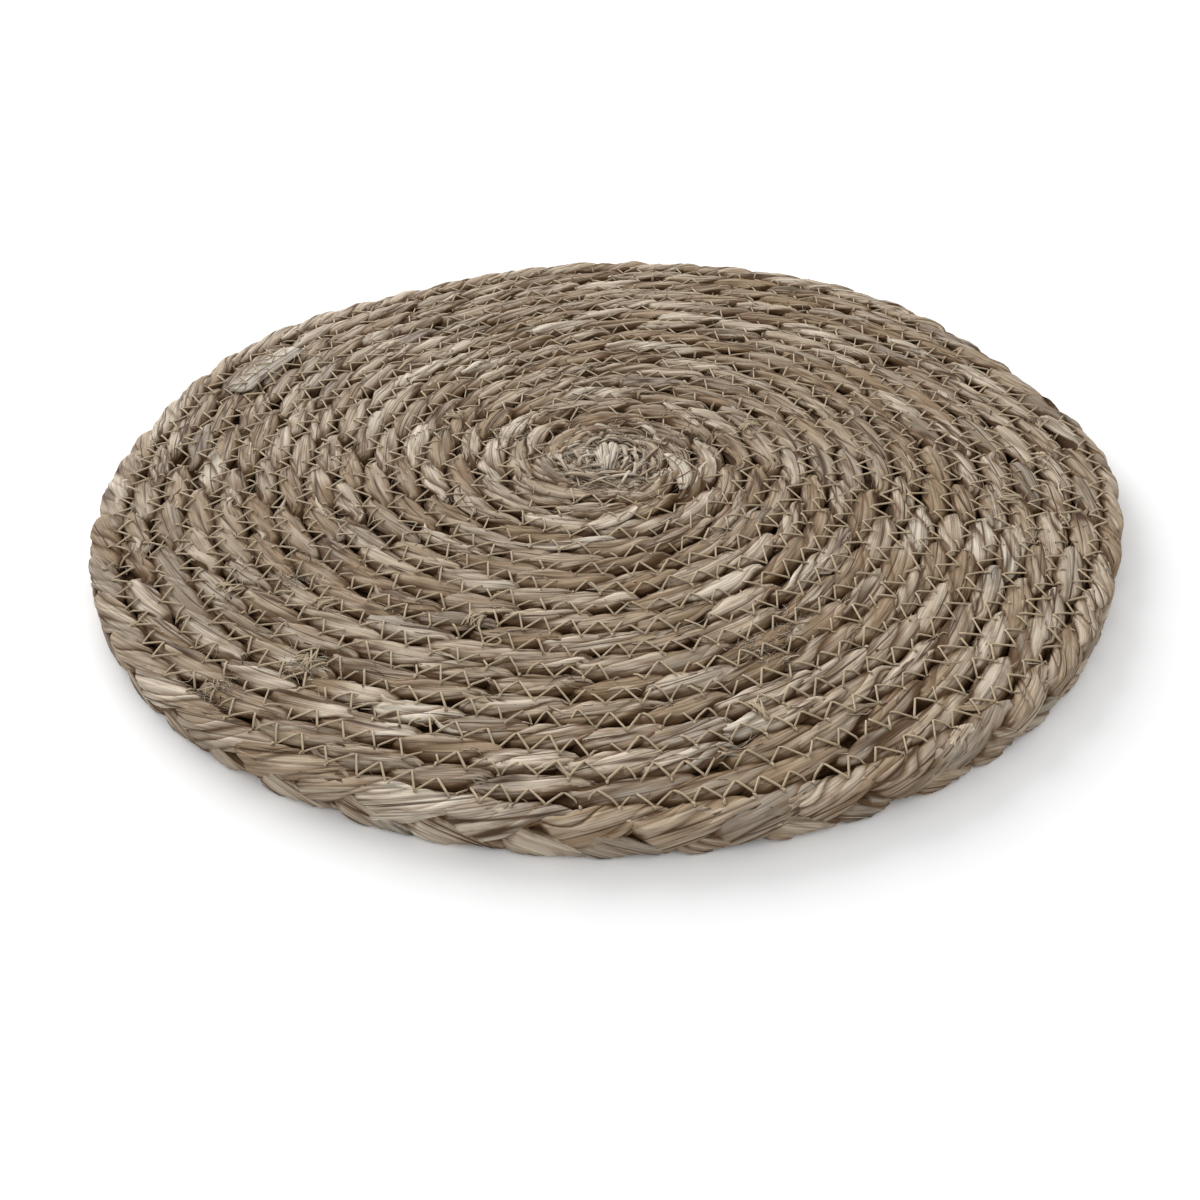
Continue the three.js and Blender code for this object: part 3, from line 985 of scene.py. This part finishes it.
def middle_leaves(context):
    """Short bundles of leaf, thick in the middle and pointed, that fill the first turns."""
    random = np.random.default_rng(78)
    share = np.linspace(0, 1, MIDDLE_RINGS)
    from_end = np.minimum(share, 1 - share)
    paths, thick, tones = [], [], []
    for first, from_turn, last, to_turn, half_width, low, high, tone in MIDDLE_LEAVES:
        for number in range(MIDDLE_BUNDLE):
            aside = (number - (MIDDLE_BUNDLE - 1) / 2) / (MIDDLE_BUNDLE / 2)
            turn = np.radians(from_turn + swing_between(from_turn, to_turn) * share)
            bulge = 0.4 + 0.6 * np.sin(math.pi * share)
            radius = (first + (last - first) * share + aside * half_width * bulge) * MM
            height = (low + (high - low) * share - 1.6 * aside ** 2 + random.uniform(-0.4, 0.2)) * MM
            height = height - 2.4 * MM * np.abs(2 * share - 1) ** 3 + 0.2 * MM * np.sin(9 * share + 4 * aside)
            paths.append(polar(radius, turn, height))
            full = half_width / MIDDLE_BUNDLE * 2.0 * MM * random.uniform(0.8, 1.2)
            thick.append(full * np.clip(5 * from_end + 0.3, 0, 1))
            tones.append(tone + random.uniform(-0.25, 0.25))
    for _ in range(FILL_LEAVES):
        away = random.uniform(*FILL_RADIUS)
        direction = random.uniform(0, ROUND)
        heading = direction + math.pi / 2 + random.normal(0, 0.5)
        run = (share - 0.5) * random.uniform(*FILL_LENGTH)
        inward = run ** 2 / 40
        x = away * math.cos(direction) + run * math.cos(heading) - inward * math.cos(direction)
        y = away * math.sin(direction) + run * math.sin(heading) - inward * math.sin(direction)
        height = random.uniform(*FILL_HEIGHT) + 0.07 * away + 0.5 * np.sin(3 * share + random.uniform(0, 6))
        height = height - 1.5 * np.abs(2 * share - 1) ** 3
        # Those under the butt end lie lower
        if abs(x[5]) < 5.5 and -12.5 < y[5] < 11:
            height = height - 1.8
        paths.append(np.stack([x, y, height], -1) * MM)
        thick.append(random.uniform(*FILL_THICK) * MM * np.clip(4 * from_end + 0.25, 0, 1))
        tones.append(random.uniform(*FILL_TONE))
    arrays = leaf_tubes(
        random, np.array(paths), np.array(thick), MIDDLE_AROUND, MIDDLE_FLAT, MIDDLE_TONE, MIDDLE_GREY)
    arrays[-1]["leaf_tone"] = np.repeat(tones, MIDDLE_AROUND * MIDDLE_RINGS + 2)
    leaf_piece(context, "middle_leaves", arrays)


def leaf_tubes(random, paths, thick, around, flat, tone, grey):
    """Flattened tubes of leaf with their leaf values, each tube with its own tone and greyness."""
    points, quads, triangles, places = tubes(paths, thick, around)
    pieces = len(paths)
    each = len(points) // pieces
    tones = np.repeat(random.uniform(*tone, pieces), each)
    greys = np.repeat(random.uniform(*grey, pieces), each)
    places[:, 0] += np.repeat(random.uniform(0, 5, pieces), each)
    places[:, 1:] *= MM
    return flattened(points, paths, around, flat), quads, triangles, loose_values(tones, greys, places)


def loose_values(tones, greys, places):
    """Values for the material of loose leaf, which lies in no other leaf's shade."""
    return {"leaf_tone": tones, "leaf_grey": greys, "leaf_shade": np.zeros(len(tones)), "leaf_place": places}


# Loose leaf blades on the plait, the wide pale leaf and the fibres

BLADES = 430
MIDDLE_BLADES = 80
RIM_LOBES = 18
BLADE_RINGS = 9
BLADE_ACROSS = np.array([-1.0, -0.55, 0.0, 0.55, 1.0])
BLADE_THICK = 0.22 * MM
BLADE_ARCH = 1.3 * MM
BLADE_EDGE_SHADE = 0.3
BLADE_LENGTH = (17 * MM, 38 * MM)
BLADE_HALF_WIDTH = (0.9 * MM, 2.7 * MM)
BLADE_POINT = (1.5, 3.0)
BLADE_TONE = (0.15, 1.1)
BLADE_GREY = (0.1, 0.9)
BLADE_LIFT = (0.1 * MM, 0.4 * MM)
MIDDLE_BLADE_LENGTH = (8 * MM, 16 * MM)
MIDDLE_BLADE_RADIUS = (9 * MM, 27 * MM)
LEAF_RINGS = 13
# The wide pale leaf: direction in degrees and radius of both ends
WIDE_LEAF = ((160, 165 * MM), (145, 168 * MM))
WIDE_LEAF_HALF = 5.6 * MM
WIDE_LEAF_LIFT = 0.75 * MM
# Single wide leaves: direction in degrees and radius in mm of both ends, half width in mm, tone, grey
SINGLE_LEAVES = (
    (258, 50, 285, 36.5, 3.6, 1.15, 0.3),
    (2, 22, 317, 36.5, 3.6, 1.3, 0.3),
    (203, 35, 255, 28, 3.6, 0.3, 0.1),
    (166, 20, 188, 18.5, 1.5, 1.5, 0.2),
    (243, 65, 262, 58, 2.8, 1.0, 0.4),
    (200, 60, 218, 62, 3.0, 0.9, 0.5),
    (95, 42, 128, 45, 3.2, 0.8, 0.7),
    (30, 42, 60, 47, 2.6, 1.0, 0.3),
)
SINGLE_LEAF_SINK = 0.5 * MM
FIBRES = 1700
FIBRES_INSIDE = 13 * MM
FIBRE_RINGS, FIBRE_AROUND = 5, 3
FIBRE_LENGTH = (4 * MM, 14 * MM)
FIBRE_THICK = (0.09 * MM, 0.26 * MM)
FIBRE_STANDS_UP = 2.2 * MM
FIBRE_TONE = (0.2, 1.4)
FIBRE_GREY = (0.0, 0.7)
# Places with most fibres: direction in degrees, radius in mm and spread in mm
FUZZY_PLACES = (
    (0, 0, 16), (0, 0, 30), (0, 0, 24), (0, 0, 36), (0, 0, 42),
    (227, 180, 9), (213, 129, 10), (291, 124, 10), (299, 117, 9), (231, 152, 9),
    (212, 150, 10), (20, 35, 12), (150, 45, 12),
)


def blades(random, middles, turns, half_widths, tones, greys, lift, lowest=0.0):
    """Thin leaf strips laid on the top, never under the height `lowest`. Their middles' radii, turns and half
    widths are given for each ring of each blade."""
    count, rings = middles.shape
    flat = polar(middles, turns)
    along = unit_vectors(np.gradient(flat, axis=1))
    side = np.stack([-along[..., 1], along[..., 0]], -1)
    spots = flat[:, :, None] + side[:, :, None] * half_widths[:, :, None, None] * BLADE_ACROSS[:, None]
    spots = np.concatenate([spots, np.zeros(spots.shape[:-1] + (1,))], -1)
    heights = height_at("top", spots)
    smooth = heights.copy()
    smooth[:, 1:-1] = (heights[:, 1:-1] * 2 + heights[:, :-2] + heights[:, 2:]) / 4
    ridge = smooth.max(2)
    ridge[:, 1:-1] = np.maximum(ridge[:, 1:-1], (ridge[:, :-2] + ridge[:, 2:]) / 2)
    ridge = ridge[:, :, None]
    heights = np.clip(smooth, ridge - BLADE_ARCH * BLADE_ACROSS ** 2 - 0.25 * MM, ridge + 0.1 * MM)
    spots[..., 2] = np.maximum(heights, lowest) + lift[:, None, None]
    raise_top(spots)
    under = spots[:, :, ::-1].copy()
    under[..., 2] -= BLADE_THICK
    ring = np.concatenate([spots, under], 2)
    both = np.concatenate([BLADE_ACROSS, BLADE_ACROSS[::-1]])
    places = lengthwise_places(flat, len(both))
    places[:, :-2, 1] = (half_widths[:, :, None] * both).reshape(count, -1)
    places[..., 0] += random.uniform(0, 5, (count, 1))
    each = places.shape[1]
    values = loose_values(np.repeat(tones, each), np.repeat(greys, each), places.reshape(-1, 3))
    # Painted shade towards each blade's edges, where they bend down onto the leaf below
    edge_shade = np.zeros((count, each))
    edge_shade[:, :-2] = np.tile(BLADE_EDGE_SHADE * np.abs(both) ** 3, rings)
    values["leaf_shade"] = edge_shade.reshape(-1)
    return *closed_tubes(ring, ring[:, [0, -1]].mean(2)), values


def loose_blades(context):
    """Leaf blades that lie along the lobes and came a little loose from them."""
    spiral = Spiral(context.scene.mat_sizes)
    random = np.random.default_rng(401)
    share = np.linspace(-0.5, 0.5, BLADE_RINGS)
    radii, directions = [], []
    for _ in range(BLADES):
        places, turn, radius, phase = _lines[random.integers(STRANDS)]
        tops = np.nonzero(np.diff(np.floor((phase - math.pi / 2) / ROUND)) > 0)[0]
        top = places[tops[random.integers(3, len(tops) - RIM_LOBES)]]
        length = random.uniform(*BLADE_LENGTH)
        at = top + random.uniform(-5 * MM, 5 * MM) + share * length
        aside = random.uniform(-2.6 * MM, 2.6 * MM) + random.uniform(-0.8 * MM, 0.8 * MM) * share * 2
        centre = spiral.place(np.interp(at, places, turn), np.interp(at, places, radius) + aside, 0)
        radii.append(np.hypot(centre[:, 0], centre[:, 1]))
        directions.append(np.arctan2(centre[:, 1], centre[:, 0]))

    # The first of them lie crinkled in the middle instead
    for number in range(MIDDLE_BLADES):
        direction = random.uniform(0, ROUND)
        heading = direction + math.pi / 2 + random.normal(0, 0.5)
        length = random.uniform(*MIDDLE_BLADE_LENGTH)
        from_middle = random.uniform(*MIDDLE_BLADE_RADIUS)
        bend = random.uniform(-1.5 * MM, 1.5 * MM) * (4 * share ** 2 - 0.5)
        x = from_middle * math.cos(direction) + share * length * math.cos(heading) - bend * math.sin(heading)
        y = from_middle * math.sin(direction) + share * length * math.sin(heading) + bend * math.cos(heading)
        radii[number] = np.hypot(x, y)
        directions[number] = np.arctan2(y, x)
    directions = np.unwrap(np.array(directions), axis=1)
    widest = random.uniform(*BLADE_HALF_WIDTH, (BLADES, 1))
    point = random.uniform(*BLADE_POINT, (BLADES, 1))
    half_widths = widest * np.maximum(1 - np.abs(2 * share[None, :]) ** point, 0.06)
    looks = [random.uniform(*limits, BLADES) for limits in (BLADE_TONE, BLADE_GREY, BLADE_LIFT)]
    leaf_piece(context, "loose_blades", blades(random, np.array(radii), directions, half_widths, *looks))


def wide_leaf(context):
    """The wide pale leaf near the left edge, which lies loose on the plait."""
    random = np.random.default_rng(402)
    share = np.linspace(0, 1, LEAF_RINGS)[None, :]
    (first_turn, first_radius), (last_turn, last_radius) = WIDE_LEAF
    turns = np.radians(first_turn + (last_turn - first_turn) * share)
    radii = first_radius + (last_radius - first_radius) * share + 0.3 * MM * np.sin(6 * share)
    half_widths = WIDE_LEAF_HALF * np.clip(8 * np.minimum(share, 1 - share) + 0.45, 0, 1)
    leaf_piece(context, "wide_pale_leaf", blades(
        random, radii, turns, half_widths, np.array([1.9]), np.array([0.8]), np.array([0.1 * MM]),
        context.scene.mat_sizes.thickness + WIDE_LEAF_LIFT))


def single_leaves(context):
    """Wide pale or brown leaves, each one on its own, that show in the first turns."""
    random = np.random.default_rng(404)
    rows = np.array(SINGLE_LEAVES)
    first_turn, first, last_turn, last, half_width = (rows[:, [column]] for column in range(5))
    share = np.linspace(0, 1, LEAF_RINGS)[None, :]
    turns = np.radians(first_turn + swing_between(first_turn, last_turn) * share)
    radii = (first + (last - first) * share) * MM
    half_widths = half_width * MM * np.sqrt(np.sin(math.pi * np.clip(share, 0.02, 0.98)))
    leaf_piece(context, "single_leaves", blades(
        random, radii, turns, half_widths, rows[:, 5], rows[:, 6], np.full(len(rows), 0.3 * MM),
        context.scene.mat_sizes.thickness - SINGLE_LEAF_SINK))


def fibres(context):
    """Frayed leaf fibres, most of them in the middle and in the worn places."""
    sizes = context.scene.mat_sizes
    random = np.random.default_rng(403)
    one_each = (FIBRES, 1)
    radius = sizes.widest_radius * np.sqrt(random.uniform(0.01, 0.86, FIBRES))
    middle = polar(radius, random.uniform(0, ROUND, FIBRES))
    fuzzy = random.uniform(0, 1, FIBRES) < 0.5
    chosen = np.array(FUZZY_PLACES)[random.integers(0, len(FUZZY_PLACES), FIBRES)]
    near = polar(1, np.radians(chosen[:, 0])) * chosen[:, 1:2] * MM
    near = near + random.normal(0, 0.5, (FIBRES, 2)) * chosen[:, 2:3] * MM
    middle[fuzzy] = near[fuzzy]
    around_mat = np.arctan2(middle[:, 1], middle[:, 0]) + math.pi / 2
    heading = around_mat + random.normal(0.2, 1, FIBRES) * np.where(fuzzy, 0.7, 0.35)
    lengths = (random.uniform(*FIBRE_LENGTH, FIBRES) * np.where(fuzzy, 0.7, 1))[:, None]
    share = np.linspace(-0.5, 0.5, FIBRE_RINGS)[None, :]
    bend = random.uniform(-1, 1, one_each) * 0.25
    ahead = polar(1, heading)[:, None, :]
    aside = polar(1, heading + math.pi / 2)[:, None, :]
    flat = middle[:, None, :] + ahead * (share * lengths)[..., None]
    flat = flat + aside * (bend * share ** 2 * 4 * lengths)[..., None]
    away = np.linalg.norm(flat, axis=2).max(1)
    flat *= np.minimum(1, (sizes.widest_radius - FIBRES_INSIDE) / away)[:, None, None]
    paths = np.concatenate([flat, np.zeros(flat.shape[:2] + (1,))], -1)
    heights = height_at("top", paths)
    heights = np.maximum(heights, heights.max(1, keepdims=True) - 1.5 * MM)
    raised = random.uniform(0, FIBRE_STANDS_UP, one_each)
    raised = raised * np.clip(share + random.uniform(-0.3, 0.3, one_each), 0, 1)
    paths[..., 2] = np.minimum(heights + 0.1 * MM + raised, sizes.thickness + 1.5 * MM)
    thick = random.uniform(*FIBRE_THICK, one_each) * np.clip(1.25 - 1.6 * np.abs(share), 0.2, 1)
    *faces, places = tubes(paths, thick, FIBRE_AROUND)
    each = FIBRE_AROUND * FIBRE_RINGS + 2
    places[:, 0] += np.repeat(random.uniform(0, 5, FIBRES), each)
    places[:, 1:] *= 0.3 * MM
    tones, greys = (np.repeat(random.uniform(*limits, FIBRES), each) for limits in (FIBRE_TONE, FIBRE_GREY))
    leaf_piece(context, "fibres", (*faces, loose_values(tones, greys, places)))


# Materials

WHITISH_LEAF = (0.57, 0.52, 0.43)
FIBRE_BROWN = (0.12, 0.066, 0.030)
BLOTCH_BROWN = (0.17, 0.100, 0.050)
# Painted shade in the creases between the blades
LINE_SHADE_BROWN = (0.050, 0.024, 0.010)
# Painted shade: the warm brown of lightly shaded leaf
SHADE_BROWN = (0.120, 0.064, 0.026)
FIBRE_SWAY = 1.6 * MM
DARKER_THREAD = 0.6


class Looks:
    """The nodes of one material. An input is given a number, a vector, a colour or another node's output."""

    def __init__(self, name):
        self.material = bpy.data.materials.new(name)
        self.material.use_nodes = True
        self.tree = self.material.node_tree
        self.shader = self.tree.nodes["Principled BSDF"]

    def put(self, node, values):
        """Give a node's inputs their values or links."""
        for key, value in values.items():
            socket = node.inputs[key]
            if isinstance(value, bpy.types.NodeSocket):
                self.tree.links.new(value, socket)
            else:
                socket.default_value = (*value, 1) if socket.type == "RGBA" else value

    def node(self, kind, values, **settings):
        """The outputs of a new node."""
        node = self.tree.nodes.new("ShaderNode" + kind)
        for key, value in settings.items():
            setattr(node, key, value)
        self.put(node, values)
        return node.outputs

    def value(self, name, output="Fac"):
        """A value that the mesh keeps on its points."""
        return self.node("Attribute", {}, attribute_name=name)[output]

    def combined(self, operation, first, second):
        return self.node("Math", {0: first, 1: second}, operation=operation)[0]

    def spread(self, value, low, high, new_low, new_high):
        """A value from low to high, spread from new_low to new_high and held there beyond them."""
        limits = {"From Min": low, "From Max": high, "To Min": new_low, "To Max": new_high}
        return self.node("MapRange", {"Value": value, **limits})["Result"]

    def mixed(self, share, first, second):
        return self.node("Mix", {0: share, 6: first, 7: second}, data_type="RGBA")[2]

    def stretched(self, place, along, across):
        """The strand's own straight space, with `along` and `across` features a metre."""
        return self.node("VectorMath", {0: place, 1: (along, across, across)}, operation="MULTIPLY")[0]

    def noise(self, place, along, across, detail):
        values = {"Vector": self.stretched(place, along, across), "Scale": 1, "Detail": detail, "Roughness": 0.6}
        return self.node("TexNoise", values, noise_dimensions="3D")["Fac"]

    def cells(self, place, along, across):
        """Long cells side by side, as folded leaf blades: distance to a cell's edge and two random values."""
        values = {"Vector": self.stretched(place, along, across), "Scale": 1}
        edge = self.node("TexVoronoi", values, feature="DISTANCE_TO_EDGE")["Distance"]
        parts = self.node("SeparateColor", {0: self.node("TexVoronoi", values, feature="F1")["Color"]})
        return edge, parts[0], parts[1]

    def bump(self, height, distance, strength, **more):
        values = {"Height": height, "Distance": distance, "Strength": strength, **more}
        return self.node("Bump", values)["Normal"]


def leaf_material(colours):
    """Dried leaf: folded blades, streaks and fibres along each strand, with painted shade that makes it darkest
    deep down.
    """
    if "plaited_leaf" in bpy.data.materials:
        return bpy.data.materials["plaited_leaf"]
    looks = Looks("plaited_leaf")
    place = looks.value("leaf_place", "Vector")
    tone, grey, shade = (looks.value(name) for name in ("leaf_tone", "leaf_grey", "leaf_shade"))
    sway = looks.node("TexNoise", {"Vector": place, "Scale": 14, "Detail": 1}, noise_dimensions="3D")["Color"]
    swayed = {0: sway, 1: (0, FIBRE_SWAY, FIBRE_SWAY), 2: place}
    swayed = looks.node("VectorMath", swayed, operation="MULTIPLY_ADD")[0]

    fibre = looks.noise(swayed, 45, 2100, 3)
    streaks = looks.noise(swayed, 22, 650, 3)
    blotches = looks.noise(place, 70, 190, 3)
    edge, blade_tone, blade_grey = looks.cells(swayed, 12, 215)
    fine_edge, fine_blade_tone, _ = looks.cells(swayed, 24, 700)

    # Painted shade: dark lines in the creases between the blades, in some places only
    some = looks.spread(looks.noise(place, 30, 260, 1), 0.38, 0.56, 0.15, 1.0)
    line = looks.combined("MULTIPLY", looks.spread(edge, 0.02, 0.07, 1.0, 0.0), some)
    fine_line = looks.combined("MULTIPLY", looks.spread(fine_edge, 0.01, 0.09, 0.45, 0.0), some)
    lines = looks.combined("MAXIMUM", looks.combined("MULTIPLY", line, 0.95), fine_line)

    paleness = looks.combined("ADD", tone, looks.spread(streaks, 0.3, 0.7, -0.3, 0.3))
    paleness = looks.combined("ADD", paleness, looks.spread(blade_tone, 0, 1, -0.3, 0.3))
    paleness = looks.combined("ADD", paleness, looks.spread(fine_blade_tone, 0, 1, -0.14, 0.14))
    greyness = looks.combined("ADD", grey, looks.spread(blade_grey, 0, 1, -0.3, 0.3))

    # Each colour lies over those before it, as far as its share goes
    colour = colours.leaf
    for share, over in (
        (looks.spread(paleness, 0.0, 1.3, 0.0, 1.0), colours.pale_leaf),
        (looks.spread(tone, 1.15, 2.0, 0.0, 1.0), WHITISH_LEAF),
        (looks.spread(greyness, 0.6, 1.2, 0.0, 0.8), colours.grey_leaf),
        (looks.spread(fibre, 0.33, 0.45, 0.6, 0.0), FIBRE_BROWN),
        (looks.spread(blotches, 0.54, 0.72, 0.0, 0.6), BLOTCH_BROWN),
        (lines, LINE_SHADE_BROWN),
        # Painted shade: warm brown, then the deep shade colour, as the leaf_shade value grows
        (looks.spread(shade, 0.02, 0.45, 0.0, 0.82), SHADE_BROWN),
        (looks.spread(shade, 0.3, 0.95, 0.0, 0.96), colours.deep_shade),
    ):
        colour = looks.mixed(share, colour, over)

    blades_up = looks.spread(edge, 0.0, 0.28, 0.0, 1.0)
    folds = looks.combined("ADD", blades_up, looks.spread(fine_edge, 0.0, 0.3, 0.0, 0.28))
    looks.put(looks.shader, {
        "Base Color": colour,
        "Roughness": looks.spread(streaks, 0.3, 0.7, 0.50, 0.78),
        "Specular IOR Level": 0.12,
        "Normal": looks.bump(fibre, 0.18 * MM, 0.9, Normal=looks.bump(folds, 0.55 * MM, 1.0)),
    })
    return looks.material


def thread_material(colours):
    """Tan sewing thread, twisted of pale and darker fibres."""
    if "tan_thread" in bpy.data.materials:
        return bpy.data.materials["tan_thread"]
    looks = Looks("tan_thread")
    place = looks.value("thread_place", "Vector")
    fibre = looks.noise(place, 900, 2.2, 2)
    uneven = looks.noise(place, 40, 0.5, 1)
    both = (looks.spread(value, 0.35, 0.65, 0, 0.5) for value in (fibre, uneven))
    pale_share = looks.combined("ADD", *both)
    darker = [DARKER_THREAD * part for part in colours.thread]
    looks.put(looks.shader, {
        "Base Color": looks.mixed(pale_share, darker, colours.thread),
        "Roughness": 0.7,
        "Specular IOR Level": 0.3,
        "Normal": looks.bump(fibre, 0.1 * MM, 0.6),
    })
    return looks.material


def floor_material(colours):
    """The plain pale floor."""
    looks = Looks("white_floor")
    looks.put(looks.shader, {"Base Color": colours.floor, "Roughness": 0.9, "Specular IOR Level": 0.1})
    return looks.material


# The operators

CAMERA_PLACE = (-4.4 * MM, -407.0 * MM, 258.9 * MM)
CAMERA_DOWN = math.radians(37.94)
CAMERA_ROLL = math.radians(-1.25)
CAMERA_LENS = 36.91
CAMERA_SENSOR = 36
CAMERA_REACH = (0.01, 50)
FLOOR_HALF = 6.0
SKY_STRENGTH = 0.92
LIGHT_PLACE = (-1.1, 1.58, 0.50)
LIGHT_SIZE = 2.6
LIGHT_POWER = 80


class PLACEMAT_OT_camera(Operator):
    """Set up the camera at the photograph's viewing angle"""
    bl_idname = "placemat.camera"
    bl_label = "Camera"

    def execute(self, context):
        lens = bpy.data.cameras.new("camera")
        lens.lens = CAMERA_LENS
        lens.sensor_width = CAMERA_SENSOR
        lens.clip_start, lens.clip_end = CAMERA_REACH
        camera = bpy.data.objects.new("camera", lens)
        camera.location = CAMERA_PLACE
        camera.rotation_mode = "QUATERNION"
        turned = Matrix.Rotation(math.pi / 2 - CAMERA_DOWN, 4, "X") @ Matrix.Rotation(CAMERA_ROLL, 4, "Z")
        camera.rotation_quaternion = turned.to_quaternion()
        context.scene.collection.objects.link(camera)
        context.scene.camera = camera
        return {"FINISHED"}


class PLACEMAT_OT_strands(Operator):
    """Plait the three strands of dried leaf along the spiral"""
    bl_idname = "placemat.strands"
    bl_label = "Plait"

    def execute(self, context):
        scene = context.scene
        spiral = Spiral(scene.mat_sizes)
        strands = []
        for number in range(STRANDS):
            *arrays, on_wall = strand_arrays(number, spiral, scene.mat_sizes, scene.strand_sizes)
            piece = leaf_piece(context, f"plait_strand_{number + 1}", arrays)
            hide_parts(MAT_NODE)
            strands.append((piece, on_wall))
        for piece, on_wall in strands:
            add_depth_shade(piece, on_wall, scene.mat_sizes.thickness / 2)
        return {"FINISHED"}


class PLACEMAT_OT_butt_end(Operator):
    """Fold the cut leaf ends into the middle of the mat"""
    bl_idname = "placemat.butt_end"
    bl_label = "Butt end"

    def execute(self, context):
        butt_end(context)
        middle_leaves(context)
        return {"FINISHED"}


class PLACEMAT_OT_loose_leaf(Operator):
    """Lay loose leaf blades, the wide pale leaf and fibres on the mat"""
    bl_idname = "placemat.loose_leaf"
    bl_label = "Loose leaf"

    def execute(self, context):
        loose_blades(context)
        wide_leaf(context)
        single_leaves(context)
        fibres(context)
        return {"FINISHED"}


class PLACEMAT_OT_top_sewing(Operator):
    """Sew the zigzag over the seams of the top"""
    bl_idname = "placemat.top_sewing"
    bl_label = "Sewing on the top"

    def execute(self, context):
        sewing_piece(context, "zigzag_thread_top", "top", 301)
        return {"FINISHED"}


class PLACEMAT_OT_under_sewing(Operator):
    """Sew the zigzag over the seams of the underside"""
    bl_idname = "placemat.under_sewing"
    bl_label = "Sewing on the underside"

    def execute(self, context):
        sewing_piece(context, "zigzag_thread_under", "under", 302)
        return {"FINISHED"}


class PLACEMAT_OT_stage(Operator):
    """Lay the pale floor and set up the soft studio light"""
    bl_idname = "placemat.stage"
    bl_label = "Floor and light"

    def execute(self, context):
        scene = context.scene
        corners = FLOOR_HALF * np.array([(-1, -1, 0), (1, -1, 0), (1, 1, 0), (-1, 1, 0)])
        floor = mesh_from_arrays("floor", corners, np.array([[0, 1, 2, 3]]), np.zeros((0, 3), int), {})
        floor.data.materials.append(floor_material(scene.placemat_colours))
        world = bpy.data.worlds.new("studio")
        world.use_nodes = True
        background = world.node_tree.nodes["Background"]
        background.inputs["Color"].default_value = (1, 1, 1, 1)
        background.inputs["Strength"].default_value = SKY_STRENGTH
        scene.world = world
        lamp = bpy.data.lights.new("back_left_light", "AREA")
        lamp.shape = "DISK"
        lamp.size = LIGHT_SIZE
        lamp.energy = LIGHT_POWER
        light = bpy.data.objects.new("back_left_light", lamp)
        light.location = LIGHT_PLACE
        light.rotation_mode = "QUATERNION"
        light.rotation_quaternion = (-light.location).to_track_quat("-Z", "Y")
        scene.collection.objects.link(light)
        scene.view_settings.view_transform = "Standard"
        return {"FINISHED"}


class PLACEMAT_PT_sidebar(Panel):
    bl_label = "Placemat"
    bl_idname = "PLACEMAT_PT_sidebar"
    bl_space_type = "VIEW_3D"
    bl_region_type = "UI"
    bl_category = "Placemat"

    def draw(self, context):
        layout = self.layout
        for group_name in ("mat_sizes", "strand_sizes", "sewing_sizes", "placemat_colours"):
            group = getattr(context.scene, group_name)
            box = layout.box()
            for key in group.bl_rna.properties.keys():
                if key not in ("rna_type", "name"):
                    box.prop(group, key)
        for operator in OPERATORS:
            layout.operator(operator.bl_idname)


OPERATORS = (
    PLACEMAT_OT_camera,
    PLACEMAT_OT_strands,
    PLACEMAT_OT_butt_end,
    PLACEMAT_OT_loose_leaf,
    PLACEMAT_OT_top_sewing,
    PLACEMAT_OT_under_sewing,
    PLACEMAT_OT_stage,
)
GROUPS = {
    "mat_sizes": MatSizes,
    "strand_sizes": StrandSizes,
    "sewing_sizes": SewingSizes,
    "placemat_colours": Colours,
}


def register():
    for group in GROUPS.values():
        bpy.utils.register_class(group)
    for operator in OPERATORS:
        bpy.utils.register_class(operator)
    bpy.utils.register_class(PLACEMAT_PT_sidebar)
    for name, group in GROUPS.items():
        setattr(bpy.types.Scene, name, PointerProperty(type=group))


def unregister():
    for name in GROUPS:
        delattr(bpy.types.Scene, name)
    bpy.utils.unregister_class(PLACEMAT_PT_sidebar)
    for operator in reversed(OPERATORS):
        bpy.utils.unregister_class(operator)
    for group in reversed(list(GROUPS.values())):
        bpy.utils.unregister_class(group)


def main():
    register()
    bpy.ops.placemat.camera()
    bpy.ops.placemat.strands()
    bpy.ops.placemat.butt_end()
    bpy.ops.placemat.loose_leaf()
    bpy.ops.placemat.top_sewing()
    bpy.ops.placemat.under_sewing()
    bpy.ops.placemat.stage()


if __name__ == "__main__":
    main()
